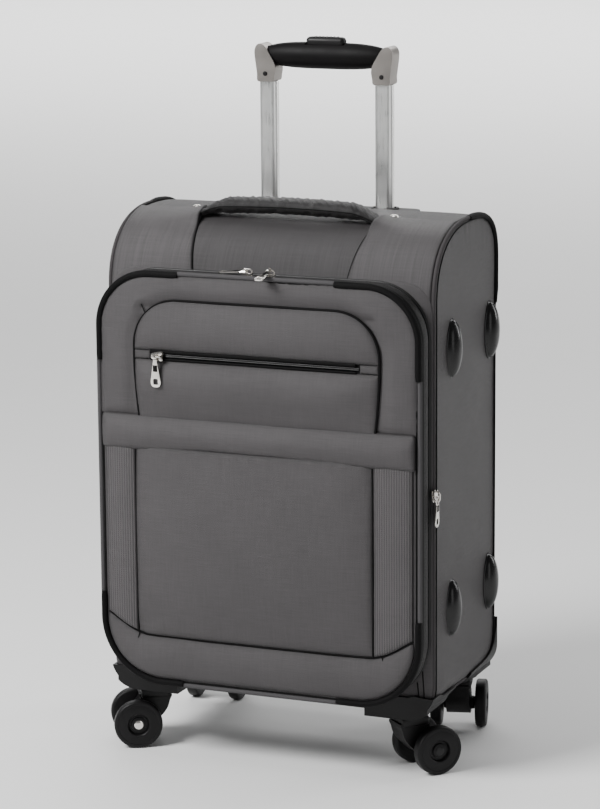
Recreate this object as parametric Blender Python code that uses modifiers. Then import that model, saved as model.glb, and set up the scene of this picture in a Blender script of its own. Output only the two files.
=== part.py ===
"""Softside upright suitcase on four twin-wheel casters, with a telescopic pull handle.

Metres, +Z up, floor at z = 0. +X is the suitcase's right seen from the front, and the
opening lid with its pockets faces -Y. The pull handle is drawn out part of its travel.
"""

import math

import bmesh
import bpy
from mathutils import Matrix, Vector

# Body: a soft box whose top is rounded from front to back.
HALF_WIDTH = 0.175
WALL = 0.004
BODY_FRONT = -0.079
BODY_BACK = 0.100
BODY_BOTTOM = 0.0668
BODY_TOP = 0.553
CROWN_Y = 0.020  # where the top is highest
FRONT_SHOULDER_Z = 0.478
REAR_SHOULDER_Z = 0.495
BASE_THICK = 0.006
LINING_Y = 0.060  # front of the board that covers the handle tubes

# Lid: the front panel, with a main zip round three sides and a fabric hinge on the left.
LID_HALF_WIDTH = 0.1722
LID_BOTTOM = 0.0795
LID_TOP = 0.5025
LID_BOTTOM_RADIUS = 0.066
LID_TOP_RADIUS = 0.056
LID_BACK = -0.1060
LID_FACE = -0.1135
ZIP_Y = -0.1036  # main zip, between the expansion frame and the lid
ZIP_INSET = 0.003
ZIP_RADIUS = 0.0017
FRAME_FRONT = -0.1015
FRAME_BACK = -0.0870
EXPANSION_ZIP_Y = -0.0845

# Pockets on the lid's face.
BAND_LOW = 0.3228
BAND_HIGH = 0.3572
POCKET_HALF_WIDTH = 0.165
POCKET_LOW = 0.129
ARCH_HALF_WIDTH = 0.1315
ARCH_TOP = 0.476
POCKET_ZIP_X = (-0.113, 0.111)
POCKET_ZIP_Z = (0.4155, 0.4245)

# Pull handle: fixed outer tubes, then two telescoping stages. Sizes are X by Y.
TUBE_X = 0.0636
TUBE_Y = 0.0764
OUTER_TUBE = (0.0266, 0.0200)
OUTER_BORE = (0.0238, 0.0173)
MIDDLE_TUBE = (0.0230, 0.0165)
MIDDLE_BORE = (0.0203, 0.0138)
INNER_TUBE = (0.0195, 0.0130)
INNER_BORE = (0.0175, 0.0110)
OUTER_Z = (0.0993, 0.5300)
MIDDLE_Z = (0.196, 0.5470)
INNER_Z = (0.317, 0.6767)
BEZEL_Z = (0.5305, 0.5495)
BEZEL_HALF = (0.101, 0.0124)
GRIP_Z = 0.7043
GRIP_HALF_LENGTH = 0.0735
GRIP_RADIUS = 0.0137
GRIP_DEPTH_SCALE = 0.87
BUTTON_HALF = (0.021, 0.006)
BUTTON_Z = (0.7125, 0.7235)
BUTTON_TRAVEL = 0.003

# Casters: a swivelling fork between two wheels.
STEM_X = 0.1415
STEM_FRONT_Y = -0.060
STEM_REAR_Y = 0.084
STEM_RADIUS = 0.005
TRAIL = 0.0195
WHEEL_RADIUS = 0.025
WHEEL_HALF_THICK = 0.006
WHEEL_OFFSET = 0.0235
AXLE_RADIUS = 0.0025
RUNNING_GAP = 0.00005
TURRET_TOP = 0.0600
GUARD_BOTTOM = 0.0605
CASTERS = {  # stem Y, side, direction in which the caster trails, degrees from +X
    "front_left": (STEM_FRONT_Y, -1, 210),
    "front_right": (STEM_FRONT_Y, 1, 49),
    "rear_left": (STEM_REAR_Y, -1, 95),
    "rear_right": (STEM_REAR_Y, 1, 105),
}

# Zip sliders and pull tabs.
SLIDER_HALF = (0.006, 0.0045)
SLIDER_HEIGHT = 0.0036
BRIDGE_HEIGHT = 0.0070
LOOP_HEIGHT = 0.00485
PULL_REACH = 0.031

GAP = 0.0003  # between pieces that touch

FRONT_PLANE = Matrix(((1, 0, 0, 0), (0, 0, -1, 0), (0, 1, 0, 0), (0, 0, 0, 1)))
SIDE_PLANE = Matrix(((0, 0, 1, 0), (1, 0, 0, 0), (0, 1, 0, 0), (0, 0, 0, 1)))

LOOKS = {  # colour, roughness, metallic
    "cloth": ((0.105, 0.100, 0.101), 0.80, 0.0),
    "pocket_cloth": ((0.115, 0.110, 0.111), 0.78, 0.0),
    "lining": ((0.030, 0.030, 0.032), 0.85, 0.0),
    "board": ((0.050, 0.050, 0.052), 0.60, 0.0),
    "moulding": ((0.016, 0.015, 0.016), 0.45, 0.0),
    "rubber": ((0.014, 0.013, 0.014), 0.60, 0.0),
    "gloss_black": ((0.012, 0.012, 0.013), 0.25, 0.0),
    "zip": ((0.020, 0.019, 0.020), 0.55, 0.0),
    "aluminium": ((0.600, 0.600, 0.590), 0.32, 0.9),
    "satin_metal": ((0.260, 0.245, 0.235), 0.40, 0.8),
    "nickel": ((0.560, 0.540, 0.520), 0.25, 1.0),
}


def new_collection(name):
    collection = bpy.data.collections.new(name)
    bpy.context.scene.collection.children.link(collection)
    return collection


def clear_scene():
    for obj in list(bpy.data.objects):
        bpy.data.objects.remove(obj, do_unlink=True)


clear_scene()
PARTS = new_collection("softside_suitcase")
CUTTERS = new_collection("cutters")


def place(name, data, look, matrix=None, parent=None):
    """Links an object into the suitcase with its own material; matrix is its world matrix."""
    obj = bpy.data.objects.new(name, data)
    PARTS.objects.link(obj)
    colour, roughness, metallic = LOOKS[look]
    material = bpy.data.materials.new(name + "_finish")
    material.use_nodes = True
    shader = material.node_tree.nodes["Principled BSDF"]
    shader.inputs["Base Color"].default_value = (*colour, 1.0)
    shader.inputs["Roughness"].default_value = roughness
    shader.inputs["Metallic"].default_value = metallic
    material.diffuse_color = (*colour, 1.0)
    if not data.materials:
        data.materials.append(material)
    obj.material_slots[0].link = "OBJECT"
    obj.material_slots[0].material = material
    matrix = matrix or Matrix.Identity(4)
    if parent:
        obj.parent = parent
        obj.matrix_parent_inverse = Matrix.Identity(4)
        matrix = parent.matrix_world.inverted() @ matrix
    obj.matrix_basis = matrix
    return obj


def joint_axis(name, location, parent=None):
    """An empty on a joint's axis, which the moving pieces are parented to."""
    empty = bpy.data.objects.new(name, None)
    PARTS.objects.link(empty)
    location = Vector(location)
    if parent:
        empty.parent = parent
        location = location - parent.matrix_world.translation
    empty.location = location
    bpy.context.view_layer.update()
    return empty


def rounded_rect(x_range, y_range, r_low, r_high=None, steps=5):
    """Points of a rectangle whose low-Y and high-Y corners are rounded."""
    (x0, x1), (y0, y1) = x_range, y_range
    r_high = r_low if r_high is None else r_high
    corners = (
        (x1 - r_low, y0 + r_low, r_low, -90),
        (x1 - r_high, y1 - r_high, r_high, 0),
        (x0 + r_high, y1 - r_high, r_high, 90),
        (x0 + r_low, y0 + r_low, r_low, 180),
    )
    points = []
    for cx, cy, radius, start in corners:
        for k in range(steps + 1):
            angle = math.radians(start + 90 * k / steps)
            points.append((cx + radius * math.cos(angle), cy + radius * math.sin(angle)))
    return points


def lid_outline(inset=0.0, steps=7):
    width = LID_HALF_WIDTH - inset
    return rounded_rect(
        (-width, width),
        (LID_BOTTOM + inset, LID_TOP - inset),
        LID_BOTTOM_RADIUS - inset,
        LID_TOP_RADIUS - inset,
        steps,
    )


def outline_curve(name, outlines, thickness):
    curve = bpy.data.curves.new(name, "CURVE")
    curve.dimensions = "2D"
    curve.fill_mode = "BOTH"
    curve.extrude = thickness / 2
    for points in outlines:
        spline = curve.splines.new("POLY")
        spline.points.add(len(points) - 1)
        for target, (x, y) in zip(spline.points, points):
            target.co = (x, y, 0, 1)
        spline.use_cyclic_u = True
    return curve


def plate(name, look, outlines, plane, span, parent=None):
    """A flat piece: outlines in a plane, filled between span's two levels along its normal."""
    low, high = span
    middle = plane.to_3x3() @ Vector((0, 0, 1))
    matrix = Matrix.Translation(middle * ((low + high) / 2) * plane_sign(plane)) @ plane
    return place(name, outline_curve(name, outlines, high - low), look, matrix, parent)


def plane_sign(plane):
    """+1 where the plane's normal points along a positive axis, -1 along a negative one."""
    normal = plane.to_3x3() @ Vector((0, 0, 1))
    return 1 if sum(normal) > 0 else -1


def tube_curve(name, points, radius, cyclic=False, resolution=2):
    curve = bpy.data.curves.new(name, "CURVE")
    curve.dimensions = "3D"
    curve.bevel_depth = radius
    curve.bevel_resolution = resolution
    curve.use_fill_caps = True
    spline = curve.splines.new("POLY")
    spline.points.add(len(points) - 1)
    for target, point in zip(spline.points, points):
        target.co = (*point, 1)
    spline.use_cyclic_u = cyclic
    return curve


def cube_mesh(name, low, high):
    """A box between two corners, as a mesh in its parent's axes."""
    low, high = Vector(low), Vector(high)
    mesh = bpy.data.meshes.new(name)
    bm = bmesh.new()
    bmesh.ops.create_cube(bm, size=1.0)
    bmesh.ops.scale(bm, vec=high - low, verts=bm.verts)
    bmesh.ops.translate(bm, vec=(low + high) / 2, verts=bm.verts)
    bm.to_mesh(mesh)
    bm.free()
    return mesh


def block(name, look, low, high, radius=0.001, segments=1):
    """A box with rounded edges."""
    obj = place(name, cube_mesh(name, low, high), look)
    round_edges(obj, radius, segments)
    return obj


def attach(obj, parent):
    """Parents an object and keeps it where it is."""
    obj.parent = parent
    obj.matrix_parent_inverse = parent.matrix_world.inverted()


def round_edges(obj, radius, segments=1):
    bevel = obj.modifiers.new("rounded", "BEVEL")
    bevel.width = radius
    bevel.segments = segments
    bevel.limit_method = "ANGLE"
    bevel.angle_limit = math.radians(35)


def turned_mesh(name, profile, closed=False):
    """A profile of (radius, height) points, running down its outer side."""
    mesh = bpy.data.meshes.new(name)
    count = len(profile)
    edges = [(k, k + 1) for k in range(count - 1)]
    if closed:
        edges.append((count - 1, 0))
    mesh.from_pydata([(r, 0, z) for r, z in profile], edges, [])
    return mesh


def turn(obj, steps):
    screw = obj.modifiers.new("turned", "SCREW")
    screw.steps = steps
    screw.render_steps = steps
    screw.use_merge_vertices = True
    screw.merge_threshold = 0.00001
    screw.use_smooth_shade = True
    return obj


def solid_mesh(obj):
    """The mesh that an object evaluates to, welded, in its own axes."""
    bpy.context.view_layer.update()
    evaluated = obj.evaluated_get(bpy.context.evaluated_depsgraph_get())
    mesh = bpy.data.meshes.new_from_object(evaluated)
    bm = bmesh.new()
    bm.from_mesh(mesh)
    bmesh.ops.remove_doubles(bm, verts=bm.verts, dist=0.00001)
    bmesh.ops.recalc_face_normals(bm, faces=bm.faces)
    bm.to_mesh(mesh)
    bm.free()
    return mesh


def as_mesh(obj):
    """Replaces a curve object with the same shape as a mesh, so that it can be cut."""
    mesh = solid_mesh(obj)
    name, matrix = obj.name, obj.matrix_world.copy()
    material = obj.material_slots[0].material
    bpy.data.objects.remove(obj)
    solid = bpy.data.objects.new(name, mesh)
    PARTS.objects.link(solid)
    mesh.materials.clear()
    mesh.materials.append(material)
    solid.matrix_basis = matrix
    return solid


def tool(name, mesh, matrix=None):
    """A cutter: an object that shapes others and isn't part of the suitcase."""
    obj = bpy.data.objects.new(name, mesh)
    CUTTERS.objects.link(obj)
    obj.hide_render = True
    obj.display_type = "WIRE"
    obj.matrix_basis = matrix or Matrix.Identity(4)
    return obj


def cut(obj, cutter, operation="DIFFERENCE"):
    boolean = obj.modifiers.new(cutter.name, "BOOLEAN")
    boolean.operation = operation
    boolean.solver = "EXACT"
    boolean.object = cutter


def cylinder_mesh(name, radius, z_range, steps=24):
    low, high = z_range
    mesh = bpy.data.meshes.new(name)
    bm = bmesh.new()
    bmesh.ops.create_cone(
        bm, cap_ends=True, segments=steps, radius1=radius, radius2=radius, depth=high - low
    )
    bmesh.ops.translate(bm, vec=(0, 0, (low + high) / 2), verts=bm.verts)
    bm.to_mesh(mesh)
    bm.free()
    return mesh


def joined_mesh(base, additions):
    """The Boolean union of a base object and some tool objects, as one mesh."""
    for addition in additions:
        cut(base, addition, "UNION")
    mesh = solid_mesh(base)
    for obj in (base, *additions):
        bpy.data.objects.remove(obj)
    return mesh


# ---------------------------------------------------------------- body


def top_profile(steps=20):
    """(y, z) points over the body's top, from its front shoulder to its rear one."""
    points = []
    for k in range(steps + 1):
        angle = math.pi * (1 - k / steps)
        c, s = math.cos(angle), math.sin(angle)
        if c < 0:
            reach, base, power = CROWN_Y - BODY_FRONT, FRONT_SHOULDER_Z, 2 / 2.35
        else:
            reach, base, power = BODY_BACK - CROWN_Y, REAR_SHOULDER_Z, 2 / 3.0
        y = CROWN_Y + math.copysign(reach * abs(c) ** power, c)
        points.append((y, base + (BODY_TOP - base) * max(s, 0.0) ** power))
    return points


def make_body_panels():
    inside = HALF_WIDTH - WALL - GAP
    front, back = BODY_FRONT + GAP, BODY_BACK
    base_top = BODY_BOTTOM + BASE_THICK
    block(
        "bottom_panel", "board", (-inside, front, BODY_BOTTOM), (inside, back - GAP, base_top)
    )
    block(
        "back_panel",
        "cloth",
        (-inside, back - WALL, base_top + GAP),
        (inside, back, REAR_SHOULDER_Z - GAP),
    )
    block(
        "inner_back_panel",
        "lining",
        (-inside + 0.001, LINING_Y, base_top + GAP),
        (inside - 0.001, LINING_Y + 0.0025, 0.543),
        radius=0.0005,
    )
    side = [(BODY_FRONT, BODY_BOTTOM), *top_profile(), (BODY_BACK, BODY_BOTTOM)]
    side = list(reversed(side))
    plate("side_panel_right", "cloth", [side], SIDE_PLANE, (HALF_WIDTH - WALL, HALF_WIDTH))
    plate("side_panel_left", "cloth", [side], SIDE_PLANE, (-HALF_WIDTH, WALL - HALF_WIDTH))
    make_top_panel(inside)


def make_top_panel(inside):
    """The curved top: an open sheet across the profile, thickened inwards."""
    mesh = bpy.data.meshes.new("top_panel")
    bm = bmesh.new()
    rows = [
        [bm.verts.new((x, y, z)) for x in (-inside, inside)] for y, z in top_profile()
    ]
    for first, second in zip(rows, rows[1:]):
        bm.faces.new((first[0], first[1], second[1], second[0]))
    bmesh.ops.recalc_face_normals(bm, faces=bm.faces)
    bm.faces.ensure_lookup_table()
    if bm.faces[len(bm.faces) // 2].normal.z < 0:
        bmesh.ops.reverse_faces(bm, faces=bm.faces)
    bm.to_mesh(mesh)
    bm.free()
    top = place("top_panel", mesh, "cloth")
    wall = top.modifiers.new("wall", "SOLIDIFY")
    wall.thickness = 0.003
    wall.offset = -1
    wall.use_even_offset = True
    half_x, half_y = BEZEL_HALF[0] + GAP, BEZEL_HALF[1] + GAP
    slot = [(x, y + TUBE_Y) for x, y in rounded_rect((-half_x, half_x), (-half_y, half_y), 0.0115)]
    carrier = bpy.data.objects.new("slot", outline_curve("slot", [slot], 0.10))
    CUTTERS.objects.link(carrier)
    mesh = solid_mesh(carrier)
    bpy.data.objects.remove(carrier)
    cut(top, tool("bezel_slot", mesh, Matrix.Translation((0, 0, BODY_TOP))))


def make_opening_frame():
    """The front wall round the main opening, and the folded gusset inside it."""
    edge = HALF_WIDTH - 0.0005
    outer = rounded_rect((-edge, edge), (BODY_BOTTOM, LID_TOP), 0.012, 0.030)
    hole = rounded_rect((-0.1635, 0.1635), (0.088, 0.476), 0.057, 0.040)
    plate(
        "opening_frame",
        "cloth",
        [outer, hole],
        FRONT_PLANE,
        (BODY_FRONT - 0.0035, BODY_FRONT - GAP),
    )
    plate(
        "expansion_gusset",
        "lining",
        [lid_outline(0.0052), lid_outline(0.0064)],
        FRONT_PLANE,
        (-0.1050, BODY_FRONT - 0.0035 - GAP),
    )


def make_corner_guard(position, side, outline, depth):
    """A moulded guard: floor with a stem bore, and walls up the side and the end."""
    x_in, x_out = 0.103 * side, (HALF_WIDTH + 0.0027) * side
    name = "corner_guard_" + position
    span = (min(x_in, x_out), max(x_in, x_out))
    guard = as_mesh(plate(name, "moulding", [outline], SIDE_PLANE, span))
    inner_x = (HALF_WIDTH + GAP) * side
    low = (min(0.09 * side, inner_x), depth[0], BODY_BOTTOM - GAP)
    high = (max(0.09 * side, inner_x), depth[1], 0.2)
    cut(guard, tool(name + "_room", cube_mesh(name + "_room", low, high)))
    stem_y = CASTERS[position][0]
    bore = cylinder_mesh(name + "_bore", STEM_RADIUS + RUNNING_GAP, (0.05, 0.08))
    cut(guard, tool(name + "_bore", bore, Matrix.Translation((STEM_X * side, stem_y, 0))))


def make_corner_guards():
    front_end = BODY_FRONT - 0.0075
    front = [
        (front_end, GUARD_BOTTOM),
        (-0.036, GUARD_BOTTOM),
        (-0.008, BODY_BOTTOM),
        (-0.009, 0.0715),
        (-0.020, 0.0765),
        (-0.046, 0.0775),
        (-0.066, 0.0835),
        (front_end, 0.0840),
    ]
    rear_end = BODY_BACK + 0.0035
    rear = [
        (0.033, BODY_BOTTOM),
        (0.052, GUARD_BOTTOM),
        (rear_end, GUARD_BOTTOM),
        (rear_end, 0.122),
        (0.1000, 0.106),
        (0.0830, 0.089),
        (0.0500, 0.080),
        (0.034, 0.078),
    ]
    for end, side in (("left", -1), ("right", 1)):
        make_corner_guard("front_" + end, side, front, (BODY_FRONT - 0.0038, 0.2))
        make_corner_guard("rear_" + end, side, rear, (-0.2, BODY_BACK + GAP))


def make_side_feet():
    """Four oval domes on the right side; the suitcase lies on their small flat crowns."""
    half_height, half_width, rise = 0.030, 0.0145, 0.011
    dome = [
        (0.0, rise),
        (0.42 * half_width, rise),
        (0.72 * half_width, 0.76 * rise),
        (0.92 * half_width, 0.42 * rise),
        (half_width, 0.0),
        (0.0, 0.0),
    ]
    stretch = Matrix.Diagonal((1, half_height / half_width, 1, 1))
    for height, z in (("upper", 0.4305), ("lower", 0.166)):
        for end, y in (("front", -0.032), ("rear", 0.080)):
            name = f"side_foot_{height}_{end}"
            place_at = Matrix.Translation((HALF_WIDTH + GAP, y, z)) @ SIDE_PLANE @ stretch
            foot = place(name, turned_mesh(name, dome), "gloss_black", place_at)
            turn(foot, 20)


def make_rivets():
    dome = [(0.0, 0.0026), (0.0030, 0.0022), (0.0048, 0.0010), (0.0050, 0.0), (0.0, 0.0)]
    for end, x in (("left", -0.1074), ("right", 0.1074)):
        name = "rivet_" + end
        rivet = place(
            name, turned_mesh(name, dome), "nickel", Matrix.Translation((x, -0.012, 0.5515))
        )
        turn(rivet, 16)


def make_carry_handle(name, centre, along, out, half_length, lift_parent):
    """A padded grab handle: an oval bar with its long way along one axis, arched outwards."""
    count = 10
    points = []
    for k in range(count + 1):
        t = 2 * k / count - 1
        points.append((t * half_length, 0, 0.0040 * (1 - t * t)))
    side = Vector(out).cross(Vector(along))
    axes = Matrix((along, side, out)).transposed().to_4x4()
    flatten = Matrix.Diagonal((1, 1, 0.5, 1))  # half as thick as it is wide
    matrix = Matrix.Translation(centre) @ axes @ flatten
    handle = place(name, tube_curve(name, points, 0.013, resolution=3), "cloth", matrix)
    attach(handle, lift_parent)


def make_carry_handles():
    top = (0, -0.022, 0.5590)
    make_carry_handle(
        "top_carry_handle", top, (1, 0, 0), (0, 0, 1), 0.079, joint_axis("top_handle_lift", top)
    )
    side = (-HALF_WIDTH - 0.0083, 0.008, 0.330)
    make_carry_handle(
        "side_carry_handle",
        side,
        (0, 0, 1),
        (-1, 0, 0),
        0.088,
        joint_axis("side_handle_lift", side),
    )


# ---------------------------------------------------------------- lid


def make_lid():
    """The expansion frame, and the lid that is zipped to it, with its pockets."""
    expansion = joint_axis("expansion_slide", (0, FRAME_BACK, 0.3))
    plate(
        "expansion_frame",
        "cloth",
        [lid_outline(), lid_outline(0.0035)],
        FRONT_PLANE,
        (FRAME_FRONT, FRAME_BACK),
        expansion,
    )
    outline = lid_outline(ZIP_INSET, 6)
    # The chain starts where the bottom-left corner ends and stops where the top-left one starts.
    steps = 6
    bottom_left = outline[3 * (steps + 1) : 4 * (steps + 1)]
    chain = [*bottom_left, *outline[: 3 * (steps + 1)]]
    path = [(x, ZIP_Y, z) for x, z in chain]
    zip_chain = place("main_zip", tube_curve("main_zip", path, ZIP_RADIUS, resolution=1), "zip")
    attach(zip_chain, expansion)

    hinge = joint_axis("lid_hinge", (-LID_HALF_WIDTH - 0.0023, -0.1045, 0.29), expansion)
    flat_front(hinge, "lid_panel", "cloth", [lid_outline(0.0005)], (LID_FACE, LID_BACK))
    pocket_back = LID_FACE - GAP
    (zx0, zx1), (zz0, zz1) = POCKET_ZIP_X, POCKET_ZIP_Z
    arch = rounded_rect(
        (-ARCH_HALF_WIDTH, ARCH_HALF_WIDTH), (BAND_HIGH + GAP, ARCH_TOP), 0.002, 0.047, 6
    )
    slot = rounded_rect((zx0 - GAP, zx1 + GAP), (zz0 - GAP, zz1 + GAP), 0.002, steps=2)
    flat_front(hinge, "upper_pocket", "pocket_cloth", [arch, slot], (-0.1180, pocket_back))
    tape = rounded_rect((zx0, zx1), (zz0, zz1), 0.0018, steps=2)
    flat_front(hinge, "pocket_zip", "zip", [tape], (-0.1172, pocket_back))
    wide = POCKET_HALF_WIDTH
    band = rounded_rect((-wide, wide), (BAND_LOW, BAND_HIGH), 0.003, steps=2)
    flat_front(hinge, "pocket_band", "pocket_cloth", [band], (-0.1230, pocket_back))
    seam_right = [(0.090, POCKET_LOW), (0.133, 0.132), (wide, 0.150)]
    seam = [*((-x, z) for x, z in reversed(seam_right)), *seam_right]
    pocket = [*seam, (wide, BAND_LOW - GAP), (-wide, BAND_LOW - GAP)]
    flat_front(hinge, "lower_pocket", "pocket_cloth", [pocket], (-0.1200, pocket_back))
    below = [(x, z - 2 * GAP) for x, z in reversed(seam)]
    inset = LID_HALF_WIDTH - wide
    low = [(x, z) for x, z in lid_outline(inset) if z < LID_BOTTOM + 0.060]
    low = sorted((p for p in low if p[0] < 0), key=lambda p: -p[1]) + sorted(
        (p for p in low if p[0] > 0), key=lambda p: p[1]
    )
    flat_front(hinge, "lid_bottom_panel", "pocket_cloth", [low + below], (-0.1190, pocket_back))
    return expansion, hinge


def flat_front(parent, name, look, outlines, span):
    attach(plate(name, look, outlines, FRONT_PLANE, span), parent)


# ---------------------------------------------------------------- zip sliders and pulls


def slider_mesh():
    """A zip slider: sliding along X, with its bridge along X above a wedge-sided body."""
    half_x, half_y = SLIDER_HALF
    mesh = cube_mesh("slider", (-half_x, -half_y, 0), (half_x, half_y, SLIDER_HEIGHT))
    body = place("slider_body", mesh, "nickel")
    round_edges(body, 0.0012)
    foot, shoulder = SLIDER_HEIGHT - 0.0008, BRIDGE_HEIGHT - 0.0012
    path = [
        (-0.0045, 0, foot),
        (-0.0045, 0, shoulder),
        (-0.0033, 0, BRIDGE_HEIGHT),
        (0.0033, 0, BRIDGE_HEIGHT),
        (0.0045, 0, shoulder),
        (0.0045, 0, foot),
    ]
    bridge = bpy.data.objects.new("bridge_path", tube_curve("bridge", path, 0.0009, resolution=1))
    CUTTERS.objects.link(bridge)
    bridge_tool = tool("bridge", solid_mesh(bridge))
    bpy.data.objects.remove(bridge)
    return joined_mesh(body, [bridge_tool])


def pull_mesh(kind):
    """A pull tab hanging along -Y from a hinge axis along X, by a ring or by a long loop."""
    if kind == "ring":
        start, neck = -0.0019, 0.0016
        path = [
            (0, 0.0021 * math.cos(math.tau * k / 12), 0.0021 * math.sin(math.tau * k / 12))
            for k in range(12)
        ]
        wire = 0.0006
    else:
        start, neck = -0.0078, 0.0026
        loop = rounded_rect((-0.0027, 0.0027), (-0.0082, 0.0), 0.0010, steps=2)
        path = [(x, y, 0) for x, y in loop]
        wire = 0.0007
    end = -PULL_REACH
    half = 0.0055
    tab = [
        (neck, start),
        (neck + 0.0006, -0.0105),
        (half, end + 0.0080),
        (half, end + 0.0028),
        (half - 0.0022, end),
        (-half + 0.0022, end),
        (-half, end + 0.0028),
        (-half, end + 0.0080),
        (-neck - 0.0006, -0.0105),
        (-neck, start),
    ]
    hole = rounded_rect((-0.0026, 0.0026), (end + 0.0028, end + 0.0085), 0.0010, steps=2)
    flat = as_mesh(place("tab_" + kind, outline_curve("tab", [tab, hole], 0.0016), "nickel"))
    carrier = bpy.data.objects.new("wire", tube_curve("wire", path, wire, True, 1))
    CUTTERS.objects.link(carrier)
    loop_tool = tool("loop", solid_mesh(carrier))
    bpy.data.objects.remove(carrier)
    return joined_mesh(flat, [loop_tool])


def frame_matrix(origin, x_axis, z_axis):
    x_axis, z_axis = Vector(x_axis).normalized(), Vector(z_axis).normalized()
    y_axis = z_axis.cross(x_axis)
    axes = Matrix((x_axis, y_axis, z_axis)).transposed().to_4x4()
    return Matrix.Translation(origin) @ axes


def pull_matrix(pivot, points_along, outward, tilt_degrees):
    """The tab points along one direction, tilted from it towards the surface."""
    tilt = math.radians(tilt_degrees)
    along, out = Vector(points_along), Vector(outward)
    direction = along * math.cos(tilt) - out * math.sin(tilt)
    normal = out * math.cos(tilt) + along * math.sin(tilt)
    hinge_axis = (-direction).cross(normal)
    return frame_matrix(pivot, hinge_axis, normal)


def make_zip_fittings(expansion, lid):
    slider = slider_mesh()
    meshes = {"ring": pull_mesh("ring"), "loop": pull_mesh("loop")}
    lid_top = LID_TOP + 0.0005
    side_x = HALF_WIDTH + 0.0005
    fittings = (  # name, origin, slide axis, outward, tab direction, kind, tilt, parent
        ("pocket", (-0.104, -0.1183, 0.420), (1, 0, 0), (0, -1, 0), (0, 0, -1), "ring", 3, lid),
        ("main_left", (-0.012, ZIP_Y, lid_top), (1, 0, 0), (0, 0, 1), (-1, 0, 0), "loop", 4, expansion),
        ("main_right", (0.012, ZIP_Y, lid_top), (1, 0, 0), (0, 0, 1), (0, -1, 0), "ring", 9, expansion),
        ("expansion", (side_x, EXPANSION_ZIP_Y, 0.292), (0, 0, 1), (1, 0, 0), (0, 0, -1), "loop", 2, None),
    )
    for name, origin, slide, outward, direction, kind, tilt, parent in fittings:
        axis = joint_axis(name + "_slide", origin, parent)
        body = place(name + "_slider", slider.copy(), "nickel", frame_matrix(origin, slide, outward))
        attach(body, axis)
        height = BRIDGE_HEIGHT if kind == "ring" else LOOP_HEIGHT
        pivot = Vector(origin) + Vector(outward) * height
        hinge = joint_axis(name + "_pull_hinge", pivot, axis)
        matrix = pull_matrix(pivot, direction, outward, tilt)
        pull = place(name + "_pull", meshes[kind].copy(), "nickel", matrix)
        attach(pull, hinge)


# ---------------------------------------------------------------- pull handle


def oval(size, centre):
    half_x, half_y = size[0] / 2, size[1] / 2
    x, y = centre
    return rounded_rect((x - half_x, x + half_x), (y - half_y, y + half_y), half_y - 0.0002, steps=4)


def make_tube(name, x, size, bore, z_span, parent=None):
    outlines = [oval(size, (x, TUBE_Y)), oval(bore, (x, TUBE_Y))]
    tube = plate(name, "aluminium", outlines, Matrix.Identity(4), z_span)
    if parent:
        attach(tube, parent)


def grip_profile(extra=0.0, steps=12):
    """(radius, height) points of the grip, thick in the middle and round at its ends."""
    half = GRIP_HALF_LENGTH + extra
    points = [(0.0, half)]
    for k in range(1, steps):
        t = math.cos(math.pi * k / steps)
        radius = (GRIP_RADIUS + extra) * (1 - abs(t) ** 3.4) ** 0.5
        points.append((radius, half * t))
    points.append((0.0, -half))
    return points


def grip_matrix():
    """Turns the grip's long axis to X and flattens it front to back."""
    lie = Matrix.Rotation(math.radians(90), 4, "Y")
    flatten = Matrix.Diagonal((1, GRIP_DEPTH_SCALE, 1, 1))
    return Matrix.Translation((0, TUBE_Y, GRIP_Z)) @ flatten @ lie


def make_pull_handle():
    lower = joint_axis("handle_lower_slide", (0, TUBE_Y, MIDDLE_Z[0]))
    upper = joint_axis("handle_upper_slide", (0, TUBE_Y, INNER_Z[0]), lower)
    for end, x in (("left", -TUBE_X), ("right", TUBE_X)):
        make_tube("outer_tube_" + end, x, OUTER_TUBE, OUTER_BORE, OUTER_Z)
        make_tube("middle_tube_" + end, x, MIDDLE_TUBE, MIDDLE_BORE, MIDDLE_Z, lower)
        make_tube("inner_tube_" + end, x, INNER_TUBE, INNER_BORE, INNER_Z, upper)
    base_low = BODY_BOTTOM + BASE_THICK + GAP
    low, high = (-0.080, 0.0640, base_low), (0.080, 0.0890, OUTER_Z[0] - GAP)
    block("handle_base", "moulding", low, high, 0.002)
    make_bezel()
    make_grip(upper)


def make_bezel():
    half_x, half_y = BEZEL_HALF
    edge = [(x, y + TUBE_Y) for x, y in rounded_rect((-half_x, half_x), (-half_y, half_y), 0.0115)]
    holes = [oval(OUTER_BORE, (x, TUBE_Y)) for x in (-TUBE_X, TUBE_X)]
    bezel = as_mesh(plate("handle_bezel", "moulding", [edge, *holes], Matrix.Identity(4), BEZEL_Z))
    round_edges(bezel, 0.0015)


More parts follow.
